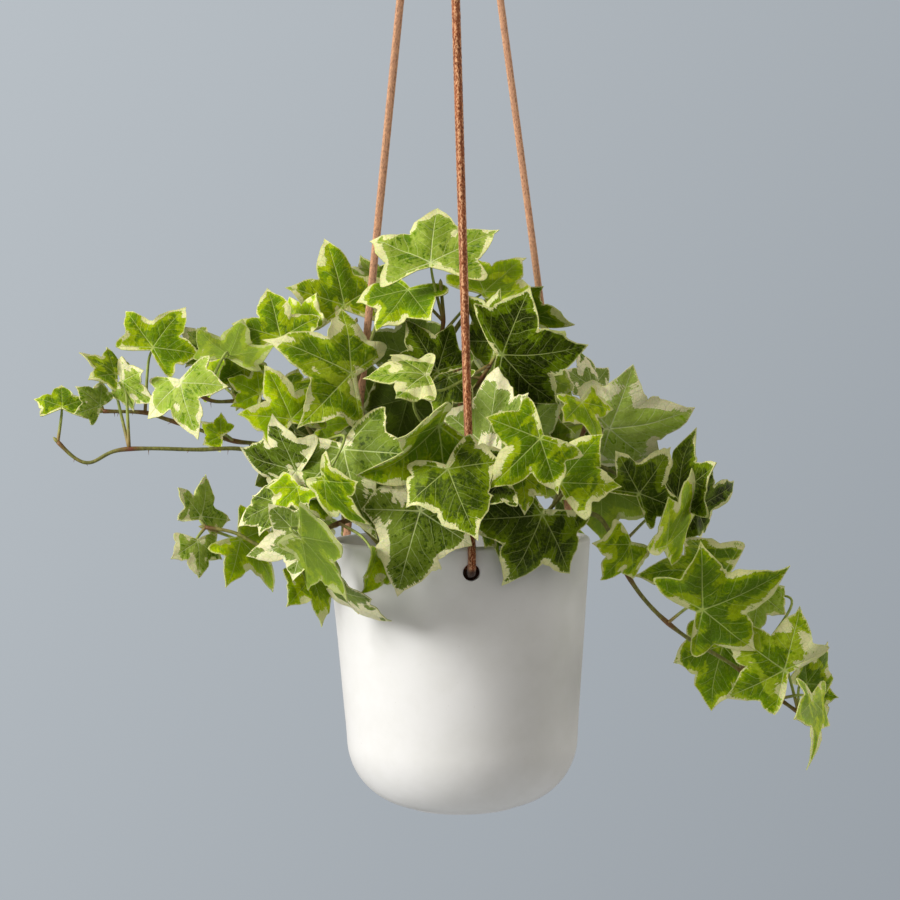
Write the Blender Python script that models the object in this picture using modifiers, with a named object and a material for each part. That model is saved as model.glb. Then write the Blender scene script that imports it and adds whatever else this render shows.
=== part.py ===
"""Variegated ivy in a round white ceramic hanging pot, held by three leather laces.

The frame is in metres with +Z up. Its origin is where the hanging loop bears on its hook, straight above the
pot, and -Y faces the viewer. Sizes below are written in millimetres times MM.
"""

import math
import random

import bmesh
import bpy
from mathutils import Matrix, Vector
from mathutils.bvhtree import BVHTree

MM = 0.001
GAP = 0.3 * MM

# Pot: a tapered round wall that turns into the floor through a wide round corner.
RIM_RADIUS = 65.5 * MM
POT_HEIGHT = 134.4 * MM
WALL = 4.5 * MM
TAPER = 0.0765
CORNER_RADIUS = 34.0 * MM
FOOT_RADIUS = 27.5 * MM
FOOT_STEP = 0.8 * MM
FLOOR = 6.0 * MM
POT_STEPS = 40

# Lace holes: three under the rim, the front one a little to the right of the viewer.
HOLE_RADIUS = 4.3 * MM
HOLE_DROP = 12.2 * MM
HOLE_AZIMUTHS = {"front": -85.0, "right": 31.0, "left": 149.0}

# Laces, their knots and the loop above.
LACE_DIAMETER = 4.0 * MM
LACE_RISE = 460.0 * MM
LACE_GATHER = 2.6 * MM
TOP_KNOT_HEIGHT = 14.0 * MM
TOP_KNOT_RADIUS = 7.5 * MM
STOPPER_RADIUS = 5.4 * MM
STOPPER_LENGTH = 8.0 * MM
LOOP_HEIGHT = 30.0 * MM
LOOP_WIDTH = 32.0 * MM

# Soil: it fills the pot to below the knots and is heaped in the middle.
SOIL_DROP = 21.0 * MM
SOIL_HEAP = 7.0 * MM
ROOT_DEPTH = 12.0 * MM

# Leafy stems.
STEM_RADIUS = 1.3 * MM
STALK_RADIUS = 0.75 * MM
BLADE = 0.7 * MM
MIDRIB_LIFT = 0.03
SMALL_LEAF = 24.0
CLEARANCE = 0.45 * MM
VIEW_DISTANCE = 1100.0 * MM
VIEW_HEIGHT = 81.0 * MM

KNOT_TOP_Z = -LOOP_HEIGHT
KNOT_FOOT_Z = KNOT_TOP_Z - TOP_KNOT_HEIGHT
RIM_Z = KNOT_FOOT_Z - GAP - LACE_RISE
SOIL_Z = RIM_Z - SOIL_DROP

# Leaf forms: length of the side lobes, their angle from the middle lobe in degrees, the reach of the notches
# between them, and half the middle lobe's breadth, as shares of the middle lobe's length.
FORMS = {
    "star": (0.78, 67, 0.46, 0.21),
    "open": (0.87, 60, 0.51, 0.24),
    "narrow": (0.82, 52, 0.49, 0.21),
    "broad": (0.70, 74, 0.57, 0.27),
    "wide": (1.00, 59, 0.58, 0.26),
}

# Ways a blade bends: how far its lobes drop towards their tips, and how steeply its two halves rise from the
# midrib.
BENDS = {
    "flat": (0.10, 0.06),
    "droop": (0.22, 0.02),
    "cup": (-0.16, 0.14),
    "fold": (0.12, 0.75),
}

# Front stems, in mm as seen from the front: across from the pot's axis, up from the rim, and away from the viewer.
# The first route of each sprig roots in the soil and the others branch from it.
# Leaves: where the stalk joins the blade (across, up, away), length of the middle lobe, then degrees of heading
# (clockwise from straight up), of tip tilt towards the viewer and of turn of the right side towards the viewer,
# then form and bend. A turn past 90 shows the underside.
SPRIGS = {
    "ivy_crown": {
        "stems": [
            [(4, 6), (1, 20, 2), (-4, 55, -6), (-8, 92, -14), (-6, 108, -18), (-7, 126, -24)],
            [(-4, 55, -6), (8, 72, -14), (17, 86, -22)],
            [(-8, 92, -14), (6, 112, -6), (16, 118, 2), (28, 116, 8)],
        ],
        "leaves": [
            (-12.0, 137.5, -30, 36, 6, -35, 10, "wide", "flat"),
            (-23.5, 124.0, -18, 28, -144, 30, -40, "open", "flat"),
            (14.5, 122.5, -8, 27, 56, -25, 45, "open", "cup"),
            (26.5, 115.5, 12, 32, 110, 10, -60, "narrow", "flat"),
            (23.0, 91.0, -40, 39, 92, 25, -30, "open", "droop"),
            (19.5, 97.5, -18, 29, -31, -15, 55, "open", "flat"),
            (-9.5, 83.5, -16, 28, -28, 0, -25, "narrow", "flat"),
            (-4.0, 80.0, -24, 22, -164, 10, -35, "open", "flat"),
            (-15.5, 79.5, -34, 28, -81, 5, -55, "narrow", "droop"),
        ],
    },
    "ivy_upper_left": {
        "stems": [
            [(-20, 14), (-34, 20, 18), (-46, 58, 12), (-54, 90, 12), (-50, 108, 22)],
            [(-46, 58, 12), (-62, 80, 2), (-76, 92, 2)],
        ],
        "leaves": [
            (-55.5, 117.0, 28, 35, -13, -15, -25, "star", "flat"),
            (-87.5, 101.5, -5, 30, -15, -30, -15, "star", "flat"),
            (-52.5, 83.0, -32, 42, -61, 18, -30, "star", "droop"),
            (-37.0, 128.0, 36, 21, -78, -5, 52, "open", "flat"),
            (-76.0, 105.0, 12, 20, -30, -20, 30, "open", "flat"),
        ],
    },
    "ivy_left": {
        "stems": [
            [(-24, -4), (-40, 14, -14), (-58, 34, -26), (-70, 48, -28), (-78, 62, -26)],
            [(-58, 34, -26), (-50, 38, -40), (-54, 42, -50)],
        ],
        "leaves": [
            (-83.0, 60.5, -44, 29, -22, -10, -28, "star", "droop"),
            (-68.5, 56.0, -22, 16, 80, 15, 40, "open", "flat"),
            (-84.5, 72.5, -10, 21, 63, -10, 45, "narrow", "flat"),
            (-98.5, 73.5, -6, 17, -62, -5, -20, "narrow", "flat"),
            (-57.0, 45.0, -66, 43, 167, 22, -25, "star", "droop"),
            (-81.0, 34.5, -54, 32, -72, -20, 35, "open", "flat"),
            (-80.5, 24.5, -48, 18, -134, 25, -25, "narrow", "flat"),
            (-73.5, 24.5, -54, 18, 150, 0, -15, "narrow", "flat"),
            (-66.5, 28.0, -58, 31, 142, 10, -60, "open", "flat"),
        ],
    },
    "ivy_lower_left": {
        "stems": [
            [(-24, -20), (-44, 8, -38), (-60, 8, -48), (-76, 0, -52), (-96, -4, -50), (-112, 4, -48), (-127, 7, -46)],
        ],
        "leaves": [
            (-91.0, 18.5, -46, 22, -115, -10, -45, "narrow", "flat"),
            (-78.0, 0.5, -60, 27, -109, -5, -20, "star", "cup"),
            (-78.5, -2.0, -70, 39, 140, 10, 122, "open", "flat"),
            (-74.5, -18.5, -60, 23, 156, 15, 55, "open", "droop"),
            (-60.5, -25.5, -74, 28, 129, 0, -70, "narrow", "flat"),
            (-42.0, -8.0, -76, 21, -164, 5, 50, "narrow", "fold"),
            (-109.5, 0.5, -54, 31, 139, -15, 50, "star", "droop"),
            (-129.0, 12.5, -46, 23, 10, -30, -45, "star", "flat"),
            (-131.0, 0.0, -50, 17, 171, 20, 35, "open", "droop"),
        ],
    },
    "ivy_front": {
        "stems": [
            [(-8, -26), (-12, 12, -48), (-12, 26, -60), (-8, 40, -66)],
        ],
        "leaves": [
            (-9.5, 56.5, -72, 44, -130, 10, 45, "narrow", "fold"),
            (-5.0, 34.5, -88, 36, 159, 25, -5, "broad", "droop"),
            (23.0, 29.5, -80, 27, -81, 0, -45, "open", "flat"),
            (-19.5, 11.0, -80, 43, -163, 10, -5, "broad", "droop"),
            (-13.5, 27.5, -74, 18, -145, 5, 40, "narrow", "flat"),
            (-27.0, 24.5, -66, 19, -103, -5, -35, "narrow", "flat"),
        ],
    },
    "ivy_front_right": {
        "stems": [
            [(16, -24), (26, 14, -46), (34, 26, -60), (40, 38, -66)],
        ],
        "leaves": [
            (14.5, 43.5, -62, 42, 17, -25, 50, "open", "cup"),
            (41.0, 48.0, -88, 35, -134, 5, 0, "star", "droop"),
            (51.5, 26.5, -74, 30, 37, -5, 30, "open", "droop"),
            (31.5, 29.5, -78, 20, 171, 20, 25, "narrow", "flat"),
            (42.0, 10.5, -75, 38, -156, 5, 24, "wide", "droop"),
            (14.0, 10.0, -76, 29, 154, 10, 38, "narrow", "fold"),
        ],
    },
    "ivy_right": {
        "stems": [
            [(26, 0), (48, 16, -10), (66, 34, -18), (80, 30, -20), (98, 16, -16)],
            [(48, 16, -10), (60, 44, -14), (66, 60, -16)],
        ],
        "leaves": [
            (62.5, 66.5, -46, 22, 156, 10, 40, "star", "flat"),
            (76.5, 53.0, -34, 41, 84, 10, -35, "open", "droop"),
            (68.0, 73.5, -14, 20, -14, -20, -40, "narrow", "flat"),
            (90.5, 20.5, -34, 29, 39, -20, -10, "star", "flat"),
            (109.5, 17.5, -16, 34, 10, -5, 58, "narrow", "flat"),
        ],
    },
    "ivy_right_spray": {
        "stems": [
            [
                (30, -16), (52, 8, -24), (66, 11, -26), (74, 4, -28), (84, -20, -30), (96, -37, -30),
                (113, -52, -26), (134, -65, -22), (150, -77, -20), (169, -91, -20),
            ],
        ],
        "leaves": [
            (119.0, 12.5, -5, 27, 63, -30, -42, "star", "flat"),
            (103.5, -5.5, -34, 40, 25, 0, -66, "narrow", "flat"),
            (85.5, -5.0, -44, 21, -146, 10, 35, "open", "droop"),
            (132.5, -21.0, -20, 42, -85, 5, -55, "star", "flat"),
            (121.5, -38.5, -36, 44, 67, 10, -28, "star", "flat"),
            (131.5, -56.5, -18, 31, -163, 5, -30, "open", "droop"),
            (162.0, -69.5, -34, 38, -53, 12, 10, "star", "flat"),
            (151.0, -31.0, 2, 19, -160, 15, -45, "open", "droop"),
            (173.5, -76.5, -8, 22, 36, -10, -38, "open", "flat"),
            (176.0, -84.5, -26, 32, 178, 12, 62, "star", "flat"),
            (178.5, -82.0, -12, 19, 176, 20, -66, "open", "droop"),
        ],
    },
    "ivy_low_vine": {
        "stems": [
            [
                (-32, 0), (-52, 10, -6), (-76, 28, -14), (-94, 40, -18), (-108, 46, -20), (-130, 46, -24),
                (-155, 47, -28), (-172, 46, -30), (-184, 40, -31), (-192, 43, -31), (-200, 51, -31),
            ],
        ],
        "leaves": [
            (-197.5, 68.5, -32, 16, -8, -40, -15, "open", "droop"),
            (-170.5, 84.5, -26, 19, -54, 10, -58, "narrow", "flat"),
            (-168.0, 81.0, -36, 20, 126, 20, -40, "narrow", "flat"),
        ],
    },
    "ivy_middle_vine": {
        "stems": [
            [
                (-32, 9), (-52, 20, 4), (-78, 40, -2), (-98, 48, -8), (-112, 50, -12), (-132, 57, -16),
                (-147, 62, -18), (-156, 65, -20), (-177, 66, -22),
            ],
        ],
        "leaves": [
            (-177.5, 69.0, -24, 15, -42, 30, -30, "open", "droop"),
            (-151.5, 97.5, -24, 27, 35, -22, 8, "star", "flat"),
            (-137.5, 79.5, -40, 28, 166, 28, -15, "star", "droop"),
            (-118.0, 53.0, -18, 12, -60, 0, 20, "open", "flat"),
        ],
    },
    "ivy_high_vine": {
        "stems": [
            [(-30, 20), (-48, 26, 16), (-70, 54, 8), (-90, 68, 0), (-108, 70, -6), (-122, 70, -10), (-131, 75, -12)],
        ],
        "leaves": [
            (-127.0, 97.0, -16, 16, -87, 15, -25, "narrow", "flat"),
            (-113.5, 92.5, -24, 24, 17, -50, 185, "open", "flat"),
            (-106.0, 86.0, -14, 20, -175, 10, 40, "open", "flat"),
            (-121.0, 80.0, -2, 17, -40, -20, 10, "open", "flat"),
        ],
    },
}

# Sprigs on the far side: the bearing that each faces, in degrees from the front towards +X, and how far it
# reaches out, up and down.
FAR_SPRIGS = {
    "ivy_back_right": (135, 88, 56, -6, 6),
    "ivy_back_low": (164, 96, 66, -26, 7),
    "ivy_back": (196, 92, 78, -12, 7),
    "ivy_back_left": (222, 90, 60, -8, 6),
    "ivy_back_top": (182, 46, 108, 62, 6),
}
FAR_SEED = 79

GREENS = {
    "ivy_crown": (0.16, 0.25, 0.06),
    "ivy_upper_left": (0.22, 0.34, 0.07),
    "ivy_left": (0.24, 0.36, 0.10),
    "ivy_front": (0.12, 0.20, 0.08),
}
LEAF_GREEN = (0.19, 0.30, 0.07)


def clear_scene():
    for thing in list(bpy.data.objects):
        bpy.data.objects.remove(thing, do_unlink=True)


def new_collection(name):
    collection = bpy.data.collections.new(name)
    bpy.context.scene.collection.children.link(collection)
    return collection


def material(name, colour, roughness, metallic=0.0):
    made = bpy.data.materials.new(name)
    made.use_nodes = True
    shader = made.node_tree.nodes["Principled BSDF"]
    shader.inputs["Base Color"].default_value = (*colour, 1.0)
    shader.inputs["Roughness"].default_value = roughness
    shader.inputs["Metallic"].default_value = metallic
    return made


def mesh_object(name, mesh, collection, surface=None):
    made = bpy.data.objects.new(name, mesh)
    collection.objects.link(made)
    if surface:
        mesh.materials.clear()
        mesh.materials.append(surface)
    return made


def plain_mesh(name, points, faces):
    mesh = bpy.data.meshes.new(name)
    mesh.from_pydata([tuple(p) for p in points], [], faces)
    mesh.update()
    return mesh


def turned(name, profile, steps, collection, surface=None):
    """A profile of (radius, z) pairs, which runs down its outer side, turned about +Z."""
    points = [(radius, 0.0, z) for radius, z in profile]
    edges = [(i, i + 1) for i in range(len(points) - 1)]
    mesh = bpy.data.meshes.new(name)
    mesh.from_pydata(points, edges, [])
    made = mesh_object(name, mesh, collection, surface)
    screw = made.modifiers.new("turn", "SCREW")
    screw.axis = "Z"
    screw.steps = steps
    screw.render_steps = steps
    screw.use_merge_vertices = True
    screw.merge_threshold = 0.01 * MM
    return made


def tube(name, points, radii, sides_step, collection, surface=None):
    """A round tube with closed ends along points, as a curve; radii is one number or one for each point."""
    curve = bpy.data.curves.new(name, "CURVE")
    curve.dimensions = "3D"
    curve.bevel_depth = 1.0
    curve.bevel_resolution = sides_step
    curve.use_fill_caps = True
    spline = curve.splines.new("POLY")
    spline.points.add(len(points) - 1)
    for i, point in enumerate(points):
        spline.points[i].co = (*point, 1.0)
        spline.points[i].radius = radii[i] if isinstance(radii, list) else radii
    made = bpy.data.objects.new(name, curve)
    collection.objects.link(made)
    if surface:
        curve.materials.append(surface)
    return made


def as_mesh(curve_object, collection):
    """The curve's tube as a closed mesh object with welded caps; the curve is removed."""
    bpy.context.view_layer.update()
    evaluated = curve_object.evaluated_get(bpy.context.evaluated_depsgraph_get())
    mesh = bpy.data.meshes.new_from_object(evaluated)
    welded = bmesh.new()
    welded.from_mesh(mesh)
    bmesh.ops.remove_doubles(welded, verts=welded.verts, dist=0.01 * MM)
    bmesh.ops.recalc_face_normals(welded, faces=welded.faces)
    bmesh.ops.triangulate(welded, faces=welded.faces)
    welded.to_mesh(mesh)
    welded.free()
    name = curve_object.name
    place = curve_object.matrix_world.copy()
    bpy.data.objects.remove(curve_object, do_unlink=True)
    made = mesh_object(name, mesh, collection)
    made.matrix_world = place
    return made


def smooth_route(points, steps):
    """Points along a Catmull-Rom curve through the given ones, steps to a stretch."""
    ends = [points[0] * 2 - points[1], *points, points[-1] * 2 - points[-2]]
    route = []
    for i in range(1, len(ends) - 2):
        a, b, c, d = ends[i - 1 : i + 3]
        for k in range(steps):
            t = k / steps
            route.append(
                0.5 * (2 * b + (c - a) * t + (2 * a - 5 * b + 4 * c - d) * t**2 + (3 * b - a - 3 * c + d) * t**3)
            )
    route.append(points[-1].copy())
    return route


def arc(centre_r, centre_z, radius, start, end, count):
    """(r, z) points on an arc; angles in degrees from +r towards +z."""
    turned_by = [math.radians(start + (end - start) * i / count) for i in range(count + 1)]
    return [(centre_r + radius * math.cos(a), centre_z + radius * math.sin(a)) for a in turned_by]


def outer_radius(drop):
    """Radius of the pot's outer wall at a depth below the rim, above its round corner."""
    return RIM_RADIUS - TAPER * drop


def pot_profile():
    """From the middle of the inner floor up the inner wall, over the lip and down the outside to the foot."""
    lip = WALL / 2
    slope = math.degrees(math.atan(TAPER))
    foot_z = RIM_Z - POT_HEIGHT
    corner_z = foot_z + FOOT_STEP + CORNER_RADIUS
    corner_r = outer_radius(RIM_Z - corner_z) - CORNER_RADIUS
    inner_corner = CORNER_RADIUS - WALL
    inner_floor = corner_z - inner_corner - (FLOOR - WALL)
    inner = arc(corner_r, corner_z - (FLOOR - WALL) * 0.3, inner_corner, -88, -slope, 5)
    lip_top = arc(RIM_RADIUS - lip, RIM_Z - lip, lip, 180 - slope, -slope, 5)
    outer = arc(corner_r, corner_z, CORNER_RADIUS, -slope, -80, 8)
    foot = [(FOOT_RADIUS + FOOT_STEP, foot_z + FOOT_STEP * 0.9), (FOOT_RADIUS, foot_z), (0.0, foot_z)]
    return [(0.0, inner_floor), *inner, *lip_top, *outer, *foot]


def inner_radius(drop):
    return outer_radius(drop) - WALL


def radial(azimuth, radius, z):
    angle = math.radians(azimuth)
    return Vector((radius * math.cos(angle), radius * math.sin(angle), z))


def cut(target, cutters):
    for i, cutter in enumerate(cutters):
        cutter.hide_render = True
        cutter.display_type = "WIRE"
        slot = target.modifiers.new(f"hole_{i}", "BOOLEAN")
        slot.operation = "DIFFERENCE"
        slot.object = cutter


def rod(name, centre, axis, radius, length, sides, collection):
    """A plain closed cylinder about centre, along axis."""
    shape = bmesh.new()
    bmesh.ops.create_cone(
        shape, cap_ends=True, segments=sides, radius1=radius, radius2=radius, depth=length
    )
    turn = Vector((0, 0, 1)).rotation_difference(axis.normalized()).to_matrix().to_4x4()
    bmesh.ops.transform(shape, matrix=Matrix.Translation(centre) @ turn, verts=shape.verts)
    mesh = bpy.data.meshes.new(name)
    shape.to_mesh(mesh)
    shape.free()
    return mesh_object(name, mesh, collection)


def make_pot(parts, cutters):
    pot = turned("pot", pot_profile(), POT_STEPS, parts, material("white_glaze", (0.86, 0.86, 0.84), 0.32))
    drills = []
    for side, azimuth in HOLE_AZIMUTHS.items():
        middle = radial(azimuth, outer_radius(HOLE_DROP) - WALL / 2, RIM_Z - HOLE_DROP)
        axis = radial(azimuth, 1.0, 0.0)
        drills.append(rod(f"drill_{side}", middle, axis, HOLE_RADIUS, 5 * WALL, 16, cutters))
    cut(pot, drills)
    for polygon in pot.data.polygons:
        polygon.use_smooth = True


def lace_route(azimuth):
    """From just outside the stopper knot, out through the hole, up over the lip and straight to the top knot."""
    half = LACE_DIAMETER / 2
    lip = WALL / 2
    lean = math.atan2(RIM_RADIUS - LACE_GATHER, LACE_RISE)
    over_lip = arc(RIM_RADIUS - lip, RIM_Z - lip, lip + half + GAP, 0, math.degrees(lean), 1)
    wall = outer_radius(HOLE_DROP)
    # The lace lies low in its hole and bends up round the hole's upper edge.
    inside = [
        (wall - WALL - 0.2 * MM, RIM_Z - HOLE_DROP - 0.7 * MM),
        (wall - 1.8 * MM, RIM_Z - HOLE_DROP - 0.5 * MM),
        (wall + 0.9 * MM, RIM_Z - HOLE_DROP + 0.7 * MM),
        (wall + half + 2 * GAP, RIM_Z - HOLE_DROP + 3.6 * MM),
    ]
    top = (LACE_GATHER, RIM_Z + LACE_RISE)
    start = over_lip[-1]
    shares = (0.0, 0.03, 0.08, 0.16, 0.28, 0.4, 0.52, 0.64, 0.76, 0.88, 1.0)
    straight = [(start[0] + (top[0] - start[0]) * s, start[1] + (top[1] - start[1]) * s) for s in shares]
    return [radial(azimuth, r, z) for r, z in [*inside, over_lip[0], *straight]]


def make_laces(parts):
    leather = material("suede_leather", (0.42, 0.17, 0.08), 0.85)
    for side, azimuth in HOLE_AZIMUTHS.items():
        tube(f"lace_{side}", lace_route(azimuth), LACE_DIAMETER / 2, 2, parts, leather)
        knot = turned(f"stopper_knot_{side}", stopper_profile(), 12, parts, leather)
        wall = inner_radius(HOLE_DROP)
        knot.rotation_euler = (0.0, math.radians(-90), math.radians(azimuth))
        knot.location = radial(azimuth, wall - GAP - 0.2 * MM, RIM_Z - HOLE_DROP - 0.7 * MM)
    turned("top_knot", top_knot_profile(), 16, parts, leather)
    loop = smooth_route(loop_route(), 2)
    tube("hanging_loop", loop, LACE_DIAMETER / 2, 2, parts, leather)


def stopper_profile():
    """A tight overhand knot as a two-wrap barrel. Its axis runs inwards from the wall, which is at z = 0."""
    wrap = STOPPER_LENGTH / 2
    middles = [wrap / 2, 3 * wrap / 2]
    profile = [(0.0, STOPPER_LENGTH)]
    for middle in reversed(middles):
        profile += arc(STOPPER_RADIUS - wrap / 2, middle, wrap / 2, 80, -80, 3)
    return [*profile, (0.0, 0.0)]


def top_knot_profile():
    """Three wraps of lace round the gathered ends."""
    wrap = TOP_KNOT_HEIGHT / 3
    profile = [(0.0, KNOT_TOP_Z)]
    for i in range(3):
        middle = KNOT_TOP_Z - wrap * (i + 0.5)
        profile += arc(TOP_KNOT_RADIUS - wrap / 2, middle, wrap / 2, 80, -80, 4)
    return [*profile, (0.0, KNOT_FOOT_Z)]


def loop_route():
    """Up from the knot's top, round a pear-shaped loop and back down."""
    half = LOOP_WIDTH / 2 - LACE_DIAMETER / 2
    top = LACE_DIAMETER / 2
    leg = LACE_DIAMETER / 2 + GAP
    foot = KNOT_TOP_Z + GAP
    right = [
        (leg, foot),
        (leg + 0.6 * MM, foot + 3.5 * MM),
        (half * 0.72, foot + LOOP_HEIGHT * 0.34),
        (half, foot + LOOP_HEIGHT * 0.62),
        (half * 0.74, foot + LOOP_HEIGHT * 0.92),
    ]
    left = [(-x, z) for x, z in reversed(right)]
    return [Vector((x, 0.0, z)) for x, z in [*right, (0.0, top), *left]]


def view_turn(bearing):
    """Axes across, away and up for a viewer who stands at a bearing from the front, towards +X."""
    return Matrix.Rotation(math.radians(bearing), 3, "Z")


def as_seen(across, up, away):
    """A point of the front view, given in mm on the plane through the pot's axis and then carried to its depth."""
    reach = 1.0 + away * MM / VIEW_DISTANCE
    x = across * MM * reach
    z = VIEW_HEIGHT + (up * MM - VIEW_HEIGHT) * reach
    return Vector((x, away * MM, RIM_Z + z))


def rooted(x, y, above):
    """A stem's route: straight up out of the soil at (x, y), then smoothly through the points above."""
    root = Vector((x, y, SOIL_Z - ROOT_DEPTH))
    return [root, *smooth_route([Vector((x, y, SOIL_Z + SOIL_HEAP + 2 * MM)), *above], 2)]


def stem_route(points):
    """A front stem's route: a first pair is its root in the soil (across, away), the rest are seen points."""
    seen = [as_seen(*point) for point in points if len(point) == 3]
    if len(points[0]) == 2:
        return rooted(points[0][0] * MM, points[0][1] * MM, seen)
    return smooth_route(seen, 2)


def attitude(bearing, heading, tilt, turn):
    """Axes of a blade: x to its right, y along its midrib to the tip, z out of its upper face."""
    view = view_turn(bearing) @ Matrix(((1, 0, 0), (0, 0, -1), (0, 1, 0)))
    return (
        view
        @ Matrix.Rotation(math.radians(-heading), 3, "Z")
        @ Matrix.Rotation(math.radians(tilt), 3, "X")
        @ Matrix.Rotation(math.radians(-turn), 3, "Y")
    )


def blade_outline(form, small):
    """The blade's flat pattern for a middle lobe of length 1: named points and the upper face's triangles."""
    side_length, spread, notch, breadth = FORMS[form]

    def at(angle, reach, off=0.0):
        a = math.radians(angle)
        return (reach * math.sin(a) + off * math.cos(a), reach * math.cos(a) - off * math.sin(a))

    points = [(0.0, 0.0), at(0, 0.5), at(0, 1.0), at(0, 0.6, -breadth), at(0, 0.6, breadth), (0.0, -0.07)]
    base, rib, tip, left, right, heel = range(6)
    triangles = []
    inner = {}
    for hand in (1, -1):
        inner[hand] = len(points)
        points.append(at(hand * spread * 0.48, notch))
    triangles += [(base, inner[-1], rib), (inner[-1], left, rib), (left, tip, rib)]
    triangles += [(rib, tip, right), (rib, right, inner[1]), (base, rib, inner[1])]
    edge = {}
    for hand in (1, -1):
        first = len(points)
        outer_notch = at(hand * (spread + 29), side_length * 0.56)
        basal = at(hand * (spread + 54), side_length * 0.66)
        lobe = at(hand * spread, side_length)
        if small:
            points += [lobe, outer_notch, basal]
            t, n, b = first, first + 1, first + 2
            fan = [(base, inner[hand], t), (base, t, n)]
            edge[hand] = [inner[hand], t, n, b]
        else:
            upper = at(hand * spread, side_length * 0.64, -hand * breadth * 0.8)
            lower = at(hand * spread, side_length * 0.64, hand * breadth * 0.8)
            middle = at(hand * spread, side_length * 0.5)
            points += [lobe, outer_notch, basal, upper, lower, middle]
            t, n, b, u, w, m = range(first, first + 6)
            fan = [(base, inner[hand], m), (inner[hand], u, m), (u, t, m), (m, t, w), (m, w, n), (base, m, n)]
            edge[hand] = [inner[hand], u, t, w, n, b]
        fan += [(base, n, b), (base, b, heel)]
        triangles += fan if hand < 0 else [(a, c, d) for a, d, c in fan]
    loop = [tip, right, *edge[1], heel, *reversed(edge[-1]), left]
    return points, [facing_up(points, t) for t in triangles], loop


def facing_up(points, triangle):
    (ax, ay), (bx, by), (cx, cy) = (points[i] for i in triangle)
    area = (bx - ax) * (cy - ay) - (by - ay) * (cx - ax)
    return triangle if area > 0 else triangle[::-1]


def blade_shape(size, form, bend, small, thick=BLADE, grow=1.0):
    """A closed waved blade in its own axes: its points, and faces that are split alike above and below."""
    flat, triangles, loop = blade_outline(form, small)
    drop, rise = BENDS[bend]
    upper, lower = [], []
    for i, (x, y) in enumerate(flat):
        reach = math.hypot(x, y)
        lift = MIDRIB_LIFT if i == 1 else 0.0
        height = size * (rise * abs(x) - drop * reach * reach + lift)
        upper.append(Vector((grow * size * x, grow * size * y, height + thick / 2)))
        lower.append(Vector((grow * size * x, grow * size * y, height - thick / 2)))
    count = len(flat)
    faces = [tuple(t) for t in triangles]
    faces += [tuple(i + count for i in reversed(t)) for t in triangles]
    for a, b in zip(loop, loop[1:] + loop[:1]):
        faces += [(a, b, b + count), (a, b + count, a + count)]
    return upper + lower, faces


def placed(shape, turn, place):
    points, faces = shape
    return [turn @ p + place for p in points], faces


def tree(shape):
    return BVHTree.FromPolygons(*shape)


def thick_line(points, radius):
    """A square tube round a route, as a shape for finding what would touch it."""
    rings, faces = [], []
    for i, point in enumerate(points):
        along = (points[min(i + 1, len(points) - 1)] - points[max(i - 1, 0)]).normalized()
        side = along.orthogonal().normalized() * radius
        other = along.cross(side)
        rings += [point + side, point + other, point - side, point - other]
    for i in range(len(points) - 1):
        for k in range(4):
            a, b = 4 * i + k, 4 * i + (k + 1) % 4
            faces += [(a, b, b + 4), (a, b + 4, a + 4)]
    return rings, faces


class Leaf:
    """One leaf: where its blade joins the stalk and how it lies, for a viewer at a bearing."""

    def __init__(self, sprig, spot, size, bearing, heading, tilt, turn, form, bend):
        self.sprig = sprig
        self.spot = spot
        self.bearing = bearing
        self.place = self.seen_at(0, 0)
        self.size = size * MM * (1.0 + spot[2] * MM / VIEW_DISTANCE)
        self.axes = attitude(bearing, heading, tilt, turn)
        self.form = form
        self.bend = bend
        self.small = size < SMALL_LEAF or bearing != 0
        self.stalk = None

    def seen_at(self, away, up):
        """Its place after steps in mm away from the viewer and up, along the viewer's line of sight."""
        seen = as_seen(self.spot[0], self.spot[1] + up, self.spot[2] + away)
        return view_turn(self.bearing) @ seen

    def blade(self, clearance=0.0):
        grow = 1.0 + clearance / self.size
        shape = blade_shape(self.size, self.form, self.bend, self.small, BLADE + 2 * clearance, grow)
        return placed(shape, self.axes, self.place)


def front_leaves(name):
    made = []
    for across, up, away, size, heading, tilt, turn, form, bend in SPRIGS[name]["leaves"]:
        made.append(Leaf(name, (across, up, away), size, 0, heading, tilt, turn, form, bend))
    return made


def far_sprig(name, dice):
    """Stem routes and leaves of a sprig on the far side, by rule: it arches out over the rim and hangs."""
    bearing, reach, height, end, count = FAR_SPRIGS[name]
    turn = view_turn(bearing)

    root = turn @ Vector((0.0, -22 * MM, 0.0))
    drift = dice.uniform(-6, 6)
    middle = [
        (drift * 0.3, 16, -0.42 * reach if reach > 60 else -26),
        (drift, height * 0.62, -0.5 * reach if reach > 60 else -34),
        (drift * 0.5, height * 0.9, -0.68 * reach),
        (0.0, height * 0.72, -0.86 * reach),
        (-drift, (height + end) * 0.42, -0.97 * reach),
        (-drift, end, -reach),
    ]
    route = rooted(root.x, root.y, [turn @ as_seen(*m) for m in middle])
    leaves = []
    along = smooth_route([Vector(m) for m in middle[1:]], 8)
    for k in range(count):
        share = (k + 0.5) / count
        spot = along[int(share * (len(along) - 1))]
        hand = 1 if k % 2 else -1
        across = spot.x + hand * dice.uniform(8, 28)
        up = spot.y + dice.uniform(-10, 12)
        away = spot.z - dice.uniform(6, 16)
        heading = hand * (60 + 100 * share + dice.uniform(-20, 20))
        size = dice.uniform(31, 43) * (1.0 - 0.25 * share)
        tilt = dice.uniform(-5, 35)
        roll = -hand * dice.uniform(-10, 35)
        form = dice.choice(["star", "open", "open", "broad"])
        bend = dice.choice(["flat", "droop", "droop", "cup"])
        leaves.append(Leaf(name, (across, up, away), size, bearing, heading, tilt, roll, form, bend))
    return [route], leaves


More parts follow.
